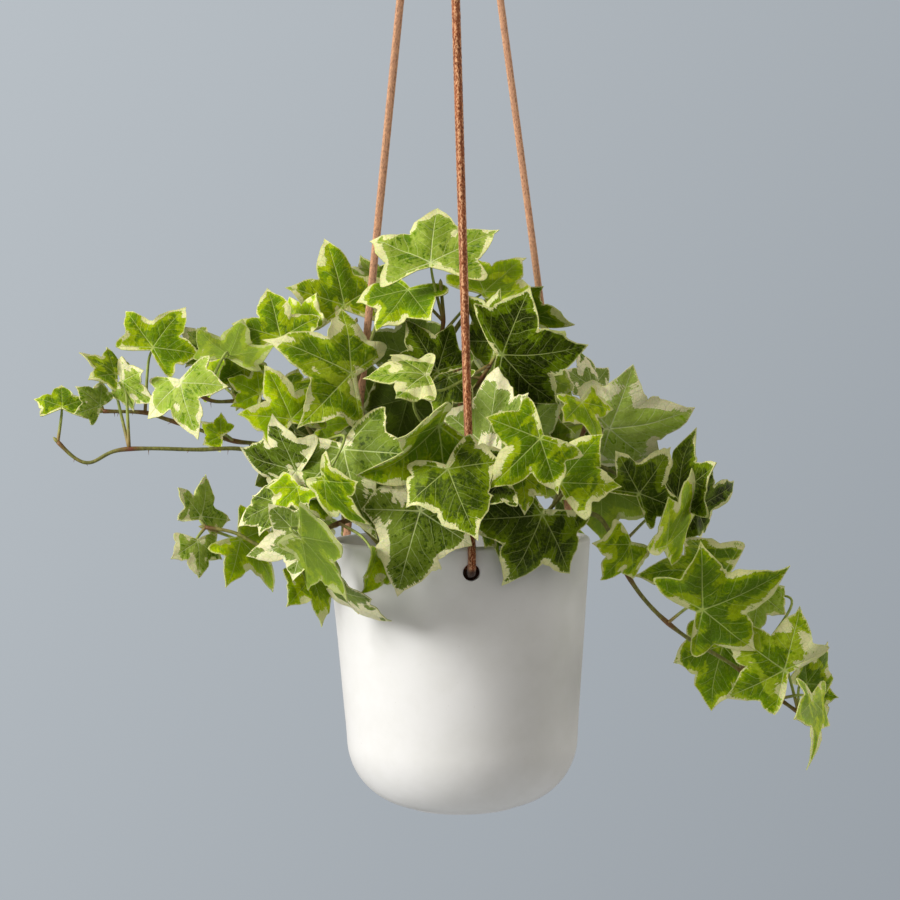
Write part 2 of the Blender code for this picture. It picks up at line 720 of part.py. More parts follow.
def fixed_shapes():
    """The pot's wall, the laces and the knots, as shapes that leaves and stalks stay clear of."""
    inner_end, outer_end = 40 * MM, 90 * MM
    rim = [(inner_radius(inner_end) - CLEARANCE, RIM_Z - inner_end), (RIM_RADIUS - WALL - CLEARANCE, RIM_Z)]
    rim += [(RIM_RADIUS - WALL / 2, RIM_Z + CLEARANCE), (RIM_RADIUS + CLEARANCE, RIM_Z - WALL / 3)]
    rim += [(outer_radius(outer_end) + CLEARANCE, RIM_Z - outer_end)]
    points, faces = [], []
    steps = POT_STEPS
    for i in range(steps):
        points += [radial(360 * i / steps, r, z) for r, z in rim]
    for i in range(steps):
        for k in range(len(rim) - 1):
            a, b = i * len(rim) + k, (i + 1) % steps * len(rim) + k
            faces += [(a, a + 1, b + 1), (a, b + 1, b)]
    shapes = [(points, faces)]
    for azimuth in HOLE_AZIMUTHS.values():
        shapes.append(thick_line(lace_route(azimuth), LACE_DIAMETER * 0.55 + CLEARANCE))
        knot_line = [inner_radius(HOLE_DROP) - STOPPER_LENGTH - 2 * MM, inner_radius(HOLE_DROP)]
        knot = [radial(azimuth, radius, RIM_Z - HOLE_DROP) for radius in knot_line]
        shapes.append(thick_line(knot, 1.5 * STOPPER_RADIUS))
    return [tree(s) for s in shapes]


# Steps tried, in mm away from the viewer and up, to bring a blade clear of those already placed.
STEPS_ASIDE = [
    (0, 0), (-2, 0), (2, 0), (-4, 0), (4, 0), (-6, 1), (6, 0), (-8, 0), (8, 0), (-10, 2), (10, 0), (-12, 0),
    (12, 2), (14, 0), (-14, 2), (17, 0), (-17, 2), (20, 0), (24, 2), (28, 0), (-20, 4), (32, 0),
]


def settle(leaves, fixed):
    """Moves each blade nearer or farther, in turn, until it crosses nothing placed before it."""
    done = []
    for leaf in leaves:
        best = None
        for away, up in STEPS_ASIDE:
            leaf.place = leaf.seen_at(away, up)
            mine = tree(leaf.blade(CLEARANCE))
            hits = sum(len(mine.overlap(t)) for t in fixed) * 4
            for other, shape in done:
                if (other.place - leaf.place).length < (other.size + leaf.size) * 1.1:
                    weight = 1 if other.sprig == leaf.sprig else 3
                    hits += weight * len(mine.overlap(shape))
            if best is None or hits < best[0]:
                best = (hits, leaf.place.copy())
            if hits == 0:
                break
        leaf.place = best[1]
        done.append((leaf, tree(leaf.blade())))
        leaf.hits = best[0]
    return done


def stalk_routes(leaf, stem_points):
    """Likely stalks, best first: from the stem below the blade, up to its base from behind."""
    along, normal = leaf.axes.col[1], leaf.axes.col[2]
    wanted = leaf.place - along * leaf.size * 0.45 - normal * leaf.size * 0.45 - Vector((0, 0, leaf.size * 0.3))
    near = sorted(stem_points, key=lambda p: (p - wanted).length)
    starts = near[:1] + near[3:4] + near[6:7]
    side = leaf.axes.col[0]
    end = leaf.place + along * leaf.size * 0.08 - normal * BLADE * 0.1
    for start in starts:
        reach = (leaf.place - start).length
        for bow_side, bow_back in ((0, 0.22), (0.18, 0.22), (-0.18, 0.22), (0, 0.4), (0.3, 0.3), (-0.3, 0.3), (0, 0.1)):
            neck = leaf.place - normal * reach * bow_back - along * reach * 0.12 + side * reach * bow_side
            yield [start, start.lerp(neck, 0.85) + Vector((0, 0, reach * 0.04)), end]


def lead_stalks(leaves, stems, blades, fixed):
    """Gives each leaf the first stalk that crosses nothing of another sprig."""
    lines = [(name, tree(thick_line(r, STEM_RADIUS + CLEARANCE))) for name, routes in stems.items() for r in routes]
    for leaf in leaves:
        stem_points = [p for r in stems[leaf.sprig] for p in r[3:]]
        best = None
        for route in stalk_routes(leaf, stem_points):
            mine = tree(thick_line(route, STALK_RADIUS + CLEARANCE))
            hits = sum(4 * len(mine.overlap(t)) for t in fixed)
            hits += sum(4 * len(mine.overlap(t)) for name, t in lines if name != leaf.sprig)
            for other, shape in blades:
                if other is not leaf:
                    hits += (1 if other.sprig == leaf.sprig else 4) * len(mine.overlap(shape))
            if best is None or hits < best[0]:
                best = (hits, route)
            if hits == 0:
                break
        leaf.stalk = best[1]
        leaf.stalk_hits = best[0]
        lines.append((leaf.sprig, tree(thick_line(leaf.stalk, STALK_RADIUS + CLEARANCE))))


def layout():
    """Every sprig's stem routes and leaves, settled clear of each other."""
    dice = random.Random(FAR_SEED)
    stems, leaves = {}, []
    for name in SPRIGS:
        routes = [stem_route(points) for points in SPRIGS[name]["stems"]]
        stems[name] = routes
        leaves += front_leaves(name)
    for name in FAR_SPRIGS:
        stems[name], far = far_sprig(name, dice)
        leaves += far
    fixed = fixed_shapes()
    lines = [tree(thick_line(r, STEM_RADIUS + CLEARANCE)) for routes in stems.values() for r in routes]
    blades = settle(leaves, fixed + lines)
    lead_stalks(leaves, stems, blades, fixed)
    return stems, leaves


def largest_body(mesh):
    """Keeps the mesh's largest connected body: scraps and sealed hollows left by the union go."""
    shape = bmesh.new()
    shape.from_mesh(mesh)
    left = set(shape.verts)
    bodies = []
    while left:
        seed = left.pop()
        body, edge = {seed}, [seed]
        while edge:
            for e in edge.pop().link_edges:
                for v in e.verts:
                    if v in left:
                        left.discard(v)
                        body.add(v)
                        edge.append(v)
        bodies.append(body)
    bodies.sort(key=len)
    for body in bodies[:-1]:
        bmesh.ops.delete(shape, geom=list(body), context="VERTS")
    bmesh.ops.triangulate(shape, faces=shape.faces)
    shape.to_mesh(mesh)
    shape.free()


def make_sprig(name, routes, leaves, parts, pieces):
    """One node: stems, stalks and blades joined by a union."""
    radius = STEM_RADIUS
    bodies = []
    for i, route in enumerate(routes):
        thin = [radius * (1.0 - 0.35 * k / len(route)) for k in range(len(route))]
        bodies.append(as_mesh(tube(f"{name}_stem_{i}", route, thin, 1, pieces), pieces))
    for i, leaf in enumerate(leaves):
        route = leaf.stalk
        thick = [STALK_RADIUS * 1.15, STALK_RADIUS, STALK_RADIUS * 0.7]
        bodies.append(as_mesh(tube(f"{name}_stalk_{i}", route, thick, 0, pieces), pieces))
        bodies.append(mesh_object(f"{name}_blade_{i}", plain_mesh(f"{name}_blade_{i}", *leaf.blade()), pieces))
    first, rest = bodies[0], bodies[1:]
    joined = new_collection(f"{name}_pieces")
    for body in rest:
        pieces.objects.unlink(body)
        joined.objects.link(body)
    union = first.modifiers.new("union", "BOOLEAN")
    union.operation = "UNION"
    union.operand_type = "COLLECTION"
    union.collection = joined
    union.solver = "MANIFOLD"
    bpy.context.view_layer.update()
    mesh = bpy.data.meshes.new_from_object(first.evaluated_get(bpy.context.evaluated_depsgraph_get()))
    for body in bodies:
        bpy.data.objects.remove(body, do_unlink=True)
    bpy.data.collections.remove(joined)
    largest_body(mesh)
    mesh_object(name, mesh, parts, material(f"{name}_leaf", GREENS.get(name, LEAF_GREEN), 0.45))


def make_soil(stems, parts, cutters):
    """The compost, domed, from the pot's floor to below the knots, with a plain hole for each stem."""
    foot_z = RIM_Z - POT_HEIGHT
    corner_z = foot_z + FOOT_STEP + CORNER_RADIUS
    corner_r = outer_radius(RIM_Z - corner_z) - CORNER_RADIUS
    inner_corner = CORNER_RADIUS - WALL - 2 * GAP
    floor_z = corner_z - inner_corner - 0.3 * MM
    edge = inner_radius(SOIL_DROP) - 2 * GAP
    dome = [(0.0, SOIL_Z + SOIL_HEAP)]
    for share in (0.3, 0.55, 0.8):
        dome.append((edge * share, SOIL_Z + SOIL_HEAP * (1 - share**2)))
    side = arc(corner_r, corner_z, inner_corner, -5, -80, 5)
    profile = [*dome, (edge, SOIL_Z), *side, (0.0, floor_z)]
    soil = turned("soil", profile, 24, parts, material("dark_compost", (0.035, 0.022, 0.014), 0.95))
    holes = []
    for name, routes in stems.items():
        root = routes[0][0]
        middle = Vector((root.x, root.y, SOIL_Z + 4 * MM))
        length = 2 * (ROOT_DEPTH + 4 * MM + GAP)
        holes.append(rod(f"hole_{name}", middle, Vector((0, 0, 1)), STEM_RADIUS + 1.5 * GAP, length, 8, cutters))
    cut(soil, holes)


def main():
    clear_scene()
    parts = new_collection("ivy_hanging_basket")
    cutters = new_collection("cutters")
    pieces = new_collection("pieces")
    make_pot(parts, cutters)
    make_laces(parts)
    stems, leaves = layout()
    for name, routes in stems.items():
        make_sprig(name, routes, [leaf for leaf in leaves if leaf.sprig == name], parts, pieces)
    make_soil(stems, parts, cutters)
    bpy.data.collections.remove(pieces)


main()
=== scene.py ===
"""A variegated ivy in a white glazed hanging pot on three suede laces, dressed over its CAD frame.

Metres, +Z up; the origin is where the loop bears on its hook and -Y faces the viewer.
"""

import math
import random

import bmesh
import bpy
import numpy as np
from mathutils import Matrix, Vector, noise
from mathutils.bvhtree import BVHTree


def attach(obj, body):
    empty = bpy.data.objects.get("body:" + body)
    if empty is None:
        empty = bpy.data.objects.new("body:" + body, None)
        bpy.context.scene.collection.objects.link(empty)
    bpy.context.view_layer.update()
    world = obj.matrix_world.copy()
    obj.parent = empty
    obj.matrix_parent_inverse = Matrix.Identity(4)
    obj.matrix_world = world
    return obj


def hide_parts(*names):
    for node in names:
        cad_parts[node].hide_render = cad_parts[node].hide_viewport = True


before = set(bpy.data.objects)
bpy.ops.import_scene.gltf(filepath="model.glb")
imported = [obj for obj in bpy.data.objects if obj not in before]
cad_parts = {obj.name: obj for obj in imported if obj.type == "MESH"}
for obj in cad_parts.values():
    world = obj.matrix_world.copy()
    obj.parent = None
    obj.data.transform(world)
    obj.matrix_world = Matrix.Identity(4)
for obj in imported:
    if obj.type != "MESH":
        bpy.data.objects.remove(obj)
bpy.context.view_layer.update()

# ---- Camera ----
# A long lens about a metre in front of the pot, level with the middle of the ivy and tipped slightly down.

MM = 0.001
GAP = 0.3 * MM

LOOP_HEIGHT = 30.0 * MM
TOP_KNOT_HEIGHT = 14.0 * MM
LACE_RISE = 460.0 * MM
KNOT_TOP_Z = -LOOP_HEIGHT
KNOT_FOOT_Z = KNOT_TOP_Z - TOP_KNOT_HEIGHT
RIM_Z = KNOT_FOOT_Z - GAP - LACE_RISE

VIEW_DISTANCE = 1100.0 * MM
VIEW_HEIGHT = 81.0 * MM
PICTURE_WIDTH = 900
FOCAL_PIXELS = 2200
AXIS_PIXELS = 7.6
VIEW_DIP = 1.94
VIEW_LEAN = 0.945

lens = bpy.data.cameras.new("viewer")
lens.sensor_width = 36.0
lens.lens = lens.sensor_width * FOCAL_PIXELS / PICTURE_WIDTH
lens.clip_start = 0.05
lens.clip_end = 20.0
viewer = bpy.data.objects.new("viewer", lens)
bpy.context.scene.collection.objects.link(viewer)
pan = math.atan(AXIS_PIXELS / FOCAL_PIXELS)
viewer.matrix_world = (
    Matrix.Translation((0, -VIEW_DISTANCE, RIM_Z + VIEW_HEIGHT))
    @ Matrix.Rotation(pan, 4, "Z")
    @ Matrix.Rotation(math.radians(90 - VIEW_DIP), 4, "X")
    @ Matrix.Rotation(math.radians(-VIEW_LEAN), 4, "Z")
)
bpy.context.scene.camera = viewer

# ---- Laces ----
# Three cut suede laces, about 4 mm across with softly squared edges. Each is knotted inside the pot, comes out
# through a hole under the rim and runs straight up to the gathering knot. They are held taut by the pot's weight.


class Value:
    """A number inside a material. Sums and products of it are worked out by Math nodes."""

    def __init__(self, finish, socket):
        self.finish = finish
        self.socket = socket

    def _math(self, operation, *numbers, clamp=False):
        settings = {"operation": operation, "use_clamp": clamp}
        return self.finish.node("ShaderNodeMath", settings, dict(enumerate(numbers)), 0)

    def __add__(self, other):
        return self._math("ADD", self, other)

    def __radd__(self, other):
        return self._math("ADD", other, self)

    def __sub__(self, other):
        return self._math("SUBTRACT", self, other)

    def __rsub__(self, other):
        return self._math("SUBTRACT", other, self)

    def __mul__(self, other):
        return self._math("MULTIPLY", self, other)

    def __rmul__(self, other):
        return self._math("MULTIPLY", other, self)

    def __pow__(self, other):
        return self._math("POWER", self, other)

    def __abs__(self):
        return self._math("ABSOLUTE", self)

    def part_of_one(self):
        """What is left after whole steps are taken off, from 0 to 1."""
        return self._math("FRACT", self)

    def held(self):
        """Kept between 0 and 1."""
        return self._math("ADD", self, 0.0, clamp=True)

    def step(self, low, high):
        """0 below low, 1 above high, and an even S between; low may be the larger."""
        settings = {"interpolation_type": "SMOOTHSTEP", "clamp": True}
        return self.finish.node("ShaderNodeMapRange", settings, {"Value": self, 1: low, 2: high}, 0)


class Finish:
    """A surface finish: one material, or the room's light, and the nodes that mix it."""

    def __init__(self, name, room=None):
        self.material = room or bpy.data.materials.new(name)
        self.material.use_nodes = True
        self.tree = self.material.node_tree
        self.shader = self.tree.nodes["Background" if room else "Principled BSDF"]

    def node(self, kind, settings, inputs, output=None):
        """A node with its settings made first, then its sockets filled or linked. Gives one output, or the node."""
        made = self.tree.nodes.new(kind)
        for key, setting in settings.items():
            setattr(made, key, setting)
        for key, given in inputs.items():
            self.feed(made.inputs[key], given)
        return made if output is None else Value(self, made.outputs[output])

    def feed(self, socket, given):
        if isinstance(given, Value):
            self.tree.links.new(given.socket, socket)
        elif isinstance(given, tuple) and socket.type == "RGBA":
            socket.default_value = (*given, 1.0)[:4]
        else:
            socket.default_value = given

    def place(self):
        """Where a point lies, in metres."""
        return self.node("ShaderNodeTexCoord", {}, {}, "Object")

    def stretched(self, place, scales):
        return self.node("ShaderNodeVectorMath", {"operation": "MULTIPLY"}, {0: place, 1: scales}, 0)

    def cloud(self, place, scale, detail=2.0, roughness=0.5):
        """Soft noise from 0 to 1."""
        inputs = {"Vector": place, "Scale": scale, "Detail": detail, "Roughness": roughness}
        return self.node("ShaderNodeTexNoise", {}, inputs, 0)

    def cells(self, place, scale):
        """One number from 0 to 1 for each cell of a cracked pattern: the Math node turns the cell's colour grey."""
        return self.node("ShaderNodeTexVoronoi", {}, {"Vector": place, "Scale": scale}, "Color") * 1.0

    def mix(self, share, first, second):
        settings = {"data_type": "RGBA", "clamp_factor": True}
        return self.node("ShaderNodeMix", settings, {0: share, 6: first, 7: second}, 2)

    def parts(self, vector):
        """The three numbers of a vector."""
        split = self.node("ShaderNodeSeparateXYZ", {}, {0: vector})
        return [Value(self, split.outputs[i]) for i in range(3)]

    def stored(self, name):
        """A set of numbers kept at the mesh's points: three as a vector, and the fourth."""
        kept = self.node("ShaderNodeAttribute", {"attribute_name": name}, {})
        return [*self.parts(Value(self, kept.outputs["Color"])), Value(self, kept.outputs["Alpha"])]

    def bump(self, height, depth, strength=1.0, under=None):
        inputs = {"Height": height, "Distance": depth, "Strength": strength}
        if under is not None:
            inputs["Normal"] = under
        return self.node("ShaderNodeBump", {}, inputs, 0)

    def wear(self, **sockets):
        """Fills the shader's own sockets, such as Base_Color or Roughness."""
        for key, given in sockets.items():
            self.feed(self.shader.inputs[key.replace("_", " ")], given)
        return self.material


def tone(red, green, blue):
    """A colour given as it looks on a screen, from 0 to 255, as light."""
    steps = [c / 255 for c in (red, green, blue)]
    return tuple(c / 12.92 if c <= 0.04045 else ((c + 0.055) / 1.055) ** 2.4 for c in steps)


def piece(name, mesh, surface, smooth=True):
    """A finished piece on the one body of the frame."""
    made = bpy.data.objects.new(name, mesh)
    bpy.context.scene.collection.objects.link(made)
    mesh.materials.append(surface)
    if smooth:
        mesh.polygons.foreach_set("use_smooth", [True] * len(mesh.polygons))
    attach(made, "root")
    return made


def mesh_of(name, points, faces):
    mesh = bpy.data.meshes.new(name)
    mesh.from_pydata([tuple(p) for p in points], [], faces)
    mesh.update()
    return mesh


RIM_RADIUS = 65.5 * MM
WALL = 4.5 * MM
TAPER = 0.0765
HOLE_DROP = 12.2 * MM
HOLE_AZIMUTHS = {"front": -85.0, "right": 31.0, "left": 149.0}
LACE_DIAMETER = 4.0 * MM
LACE_GATHER = 2.6 * MM


def radial(azimuth, radius, z):
    angle = math.radians(azimuth)
    return Vector((radius * math.cos(angle), radius * math.sin(angle), z))


def arc(centre_r, centre_z, radius, start, end, count):
    """(r, z) points on an arc; angles in degrees from +r towards +z."""
    turned_by = [math.radians(start + (end - start) * i / count) for i in range(count + 1)]
    return [(centre_r + radius * math.cos(a), centre_z + radius * math.sin(a)) for a in turned_by]


def outer_radius(drop):
    return RIM_RADIUS - TAPER * drop


def inner_radius(drop):
    return outer_radius(drop) - WALL


def lace_route(azimuth):
    """From just outside the stopper knot, out through the hole, up over the lip and straight to the top knot."""
    half = LACE_DIAMETER / 2
    lip = WALL / 2
    lean = math.atan2(RIM_RADIUS - LACE_GATHER, LACE_RISE)
    over_lip = arc(RIM_RADIUS - lip, RIM_Z - lip, lip + half + GAP, 0, math.degrees(lean), 1)
    wall = outer_radius(HOLE_DROP)
    inside = [
        (wall - WALL - 0.2 * MM, RIM_Z - HOLE_DROP - 0.7 * MM),
        (wall - 1.8 * MM, RIM_Z - HOLE_DROP - 0.5 * MM),
        (wall + 0.9 * MM, RIM_Z - HOLE_DROP + 0.7 * MM),
        (wall + half + 2 * GAP, RIM_Z - HOLE_DROP + 3.6 * MM),
    ]
    top = (LACE_GATHER, RIM_Z + LACE_RISE)
    start = over_lip[-1]
    shares = (0.0, 0.03, 0.08, 0.16, 0.28, 0.4, 0.52, 0.64, 0.76, 0.88, 1.0)
    straight = [(start[0] + (top[0] - start[0]) * s, start[1] + (top[1] - start[1]) * s) for s in shares]
    return [radial(azimuth, r, z) for r, z in [*inside, over_lip[0], *straight]]


def evened(route, step):
    """The route again at even steps, with its corners rounded off over a few of them."""
    marks = [0.0]
    for a, b in zip(route, route[1:]):
        marks.append(marks[-1] + (b - a).length)
    count = max(8, round(marks[-1] / step))
    at = np.linspace(0.0, marks[-1], count + 1)
    line = np.stack([np.interp(at, marks, [p[k] for p in route]) for k in range(3)], axis=1)
    for _ in range(4):
        line[1:-1] = 0.25 * line[:-2] + 0.5 * line[1:-1] + 0.25 * line[2:]
    return [Vector(p) for p in line]


def squared_off(line, across):
    """Each point of a line, with two directions square to it there that turn as little as they can."""
    for i, middle in enumerate(line):
        along = (line[min(i + 1, len(line) - 1)] - line[max(i - 1, 0)]).normalized()
        across = (across - along * across.dot(along)).normalized()
        yield middle, across, along.cross(across)


def tube_faces(rings, sides):
    """Faces of a tube of rings of points, closed at each end on a middle point. Those two points come last."""
    faces = []
    for i in range(rings - 1):
        for k in range(sides):
            a, b = sides * i + k, sides * i + (k + 1) % sides
            faces.append((a, b, b + sides, a + sides))
    last, start = sides * (rings - 1), sides * rings
    for k in range(sides):
        n = (k + 1) % sides
        faces += [(n, k, start), (last + k, last + n, start + 1)]
    return faces


def strand(line, outline, twist, rough, side=None):
    """Points and faces of a closed tube: outline(share, angle) gives its radius, and rough lifts its grain."""
    sides = 16
    points, angles = [], []
    for i, (middle, across, other) in enumerate(squared_off(line, side or Vector((0, 0, 1)))):
        share = i / (len(line) - 1)
        for k in range(sides):
            angle = 2 * math.pi * k / sides
            radius = outline(share, angle)
            spun = angle + twist(share)
            way = across * math.cos(spun) + other * math.sin(spun)
            spot = middle + way * radius
            spot += way * rough * noise.noise(spot * 900)
            points.append(spot)
            angles.append(angle)
    return [*points, line[0], line[-1]], tube_faces(len(line), sides), [*angles, 0.0, 0.0]


def softly_square(half_broad, half_thick):
    """A rounded oblong: how far its edge is from the middle at an angle."""

    def edge(share, angle):
        c, s = abs(math.cos(angle)) / half_broad, abs(math.sin(angle)) / half_thick
        return (c**4 + s**4) ** -0.25

    return edge


suede = Finish("lace_suede")
spot = suede.place()
fibre = suede.cloud(suede.stretched(spot, (1.0, 1.0, 0.45)), 1500.0, 3.0, 0.65)
nap = suede.cloud(spot, 3600.0, 2.0, 0.6)
blotch = suede.cloud(spot, 160.0, 2.0)
corner = Value(suede, suede.node("ShaderNodeAttribute", {"attribute_name": "corner"}, {}).outputs["Fac"])
flecks = (fibre + corner * 0.14).step(0.56, 0.70)
pits = fibre.step(0.47, 0.34)
hide = suede.mix(blotch.step(0.3, 0.7), tone(138, 74, 38), tone(166, 92, 50))
# The two far laces are painted paler, as painted light for the brighter, lit look that they have.
_, depth, level = suede.parts(spot)
far = depth.step(-8.0 * MM, 4.0 * MM)
hide = suede.mix(far * 0.62, hide, tone(226, 178, 144))
hide = suede.mix(flecks * (0.85 - far * 0.25), hide, tone(236, 182, 136))
hide = suede.mix(pits * (0.9 - far * 0.45), hide, tone(74, 34, 14))
# Below the rim holes the laces are much darker: painted shade, for where they pass into the shadow of the hole and
# pot.
hole_z = RIM_Z - HOLE_DROP
painted_hole_shade = level.step(hole_z + 2.8 * MM, hole_z + 0.2 * MM)
hide = suede.mix(painted_hole_shade * 0.88, hide, tone(38, 18, 10))
SUEDE = suede.wear(
    Base_Color=hide,
    Roughness=0.78 + nap * 0.2,
    Normal=suede.bump(fibre * 0.7 + nap * 0.3, 0.35 * MM, 0.8),
    Specular_IOR_Level=0.25,
    Sheen_Weight=0.25,
    Sheen_Roughness=0.5,
)


def suede_piece(name, shape):
    """A lace or knot, from its points, faces and angles."""
    points, faces, angles = shape
    mesh = mesh_of(name, points, faces)
    # How near each point is to a cut corner of the lace.
    corners = mesh.attributes.new("corner", "FLOAT", "POINT")
    corners.data.foreach_set("value", [abs(math.sin(2 * a)) ** 1.5 for a in angles])
    return piece(name, mesh, SUEDE)


# The loop and the gathering knot at its foot. The loop is one lace bent double, which bears on the hook; its two
# legs and the three laces are bound by three turns of lace pulled tight.

TOP_KNOT_RADIUS = 7.5 * MM
LOOP_WIDTH = 32.0 * MM


def smooth_route(points, steps):
    """Points along a Catmull-Rom curve through the given ones, steps to a stretch."""
    ends = [points[0] * 2 - points[1], *points, points[-1] * 2 - points[-2]]
    route = []
    for i in range(1, len(ends) - 2):
        a, b, c, d = ends[i - 1 : i + 3]
        for k in range(steps):
            t = k / steps
            route.append(
                0.5 * (2 * b + (c - a) * t + (2 * a - 5 * b + 4 * c - d) * t**2 + (3 * b - a - 3 * c + d) * t**3)
            )
    route.append(points[-1].copy())
    return route


def loop_route():
    """Up from the knot's top, round a pear-shaped loop and back down."""
    half = LOOP_WIDTH / 2 - LACE_DIAMETER / 2
    top = LACE_DIAMETER / 2
    leg = LACE_DIAMETER / 2 + GAP
    foot = KNOT_TOP_Z + GAP
    right = [
        (leg, foot),
        (leg + 0.6 * MM, foot + 3.5 * MM),
        (half * 0.72, foot + LOOP_HEIGHT * 0.34),
        (half, foot + LOOP_HEIGHT * 0.62),
        (half * 0.74, foot + LOOP_HEIGHT * 0.92),
    ]
    left = [(-x, z) for x, z in reversed(right)]
    return [Vector((x, 0.0, z)) for x, z in [*right, (0.0, top), *left]]


def coil(turns, radius, pitch, start_z):
    """A helix about +Z that runs down from start_z, with its ends drawn in."""
    steps = int(turns * 40)
    line = []
    for i in range(steps + 1):
        angle = 2 * math.pi * turns * i / steps
        ends = min(i, steps - i) / steps * turns
        drawn = radius * (0.55 + 0.45 * min(1.0, ends / 0.3))
        line.append(Vector((drawn * math.cos(angle), drawn * math.sin(angle), start_z - pitch * turns * i / steps)))
    return line


def joined(shapes):
    """Several (points, faces, angles) as one."""
    points, faces, angles = [], [], []
    for more_points, more_faces, more_angles in shapes:
        first = len(points)
        points += more_points
        faces += [tuple(i + first for i in face) for face in more_faces]
        angles += more_angles
    return points, faces, angles


KNOT_TURNS = 3.0
WRAP_HALF = 2.1 * MM

lace_edge = softly_square(1.95 * MM, 1.75 * MM)
wrap_edge = softly_square(WRAP_HALF, 1.9 * MM)
knot_pitch = (TOP_KNOT_HEIGHT - 2 * WRAP_HALF) / KNOT_TURNS
binding = coil(KNOT_TURNS, TOP_KNOT_RADIUS - 2.05 * MM, knot_pitch, KNOT_TOP_Z - WRAP_HALF)
knot_shapes = [strand(binding, wrap_edge, lambda share: 0.0, 0.1 * MM)]
for side, azimuth in HOLE_AZIMUTHS.items():
    core = [radial(azimuth, LACE_GATHER, z) for z in (KNOT_TOP_Z - 0.8 * MM, KNOT_FOOT_Z + 0.1 * MM)]
    knot_shapes.append(strand(evened(core, 1.0 * MM), lace_edge, lambda share: 0.3, 0.08 * MM, Vector((1, 0, 0))))
gathering_knot = suede_piece("gathering_knot", joined(knot_shapes))
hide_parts("top_knot")

loop_line = evened(smooth_route(loop_route(), 12), 0.8 * MM)
loop_shape = strand(loop_line, lace_edge, lambda share: 0.4, 0.08 * MM, Vector((0, 1, 0)))
hook_loop = suede_piece("hook_loop", loop_shape)
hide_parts("hanging_loop")

LACE_TWIST = {"front": (0.2, 0.5), "right": (1.1, -0.4), "left": (0.5, 0.35)}
for side, azimuth in HOLE_AZIMUTHS.items():
    line = evened(lace_route(azimuth), 0.9 * MM)
    begin, more = LACE_TWIST[side]
    outwards = radial(azimuth, 1, 0)
    shape = strand(line, lace_edge, lambda share: begin + more * share, 0.1 * MM, outwards)
    lace = suede_piece(f"suede_lace_{side}", shape)
    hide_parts(f"lace_{side}")
    length = sum((b - a).length for a, b in zip(line, line[1:]))
    [tuple(p) for p in line[::4]] + [tuple(line[-1])]
    [gathering_knot, hook_loop] if side == "front" else []

# Stopper knots: the end of each lace is wound twice round itself inside the pot and pulled up against the wall,
# where it is wider than its hole.

STOPPER_RADIUS = 5.4 * MM
STOPPER_LENGTH = 8.0 * MM
STOPPER_TURNS = 1.9
for side, azimuth in HOLE_AZIMUTHS.items():
    pitch = (STOPPER_LENGTH - 4.1 * MM) / STOPPER_TURNS
    wound = coil(STOPPER_TURNS, STOPPER_RADIUS - 2.0 * MM, pitch, -2.0 * MM)
    tail = [Vector((0.6 * MM, 0.0, -0.4 * MM)), Vector((-0.4 * MM, 0.0, -STOPPER_LENGTH + 1.0 * MM))]
    shapes = [
        strand(wound, softly_square(2.0 * MM, 1.9 * MM), lambda share: 0.0, 0.08 * MM),
        strand(evened(tail, 0.9 * MM), lace_edge, lambda share: 0.0, 0.08 * MM, Vector((1, 0, 0))),
    ]
    points, faces, angles = joined(shapes)
    wall_face = radial(azimuth, inner_radius(HOLE_DROP) - GAP - 0.2 * MM, RIM_Z - HOLE_DROP - 0.7 * MM)
    lie = (
        Matrix.Translation(wall_face)
        @ Matrix.Rotation(math.radians(azimuth), 4, "Z")
        @ Matrix.Rotation(math.radians(90), 4, "Y")
    )
    stopper = suede_piece(f"stopper_{side}", ([lie @ p for p in points], faces, angles))
    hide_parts(f"stopper_knot_{side}")

# ---- Pot ----
# A slip-cast stoneware pot with a tapered wall and a wide round foot corner, under a satin white glaze. The glaze
# lies in faint waves, and the three lace holes have softly rounded edges.

POT_HEIGHT = 134.4 * MM
CORNER_RADIUS = 34.0 * MM
FOOT_RADIUS = 27.5 * MM
FOOT_STEP = 0.8 * MM
FLOOR = 6.0 * MM
HOLE_RADIUS = 4.0 * MM
POT_STEPS = 168


def pot_profile():
    """From the middle of the inner floor up the inner wall, over the lip and down the outside to the foot."""
    lip = WALL / 2
    slope = math.degrees(math.atan(TAPER))
    foot_z = RIM_Z - POT_HEIGHT
    corner_z = foot_z + FOOT_STEP + CORNER_RADIUS
    corner_r = outer_radius(RIM_Z - corner_z) - CORNER_RADIUS
    inner_corner = CORNER_RADIUS - WALL
    inner_floor = corner_z - inner_corner - (FLOOR - WALL)
    inner = arc(corner_r, corner_z - (FLOOR - WALL) * 0.3, inner_corner, -88, -slope, 14)
    lip_top = arc(RIM_RADIUS - lip, RIM_Z - lip, lip, 180 - slope, -slope, 12)
    (top_r, top_z), foot_r = lip_top[-1], corner_r + CORNER_RADIUS * math.cos(math.radians(slope))
    wall = [(top_r + (foot_r - top_r) * k / 16, top_z + (corner_z - top_z) * k / 16) for k in range(1, 16)]
    outer = arc(corner_r, corner_z, CORNER_RADIUS, -slope, -80, 30)
    foot = [(FOOT_RADIUS + FOOT_STEP, foot_z + FOOT_STEP * 0.9), (FOOT_RADIUS, foot_z), (0.0, foot_z)]
    return [(0.0, inner_floor), *inner, *lip_top, *wall, *outer, *foot]


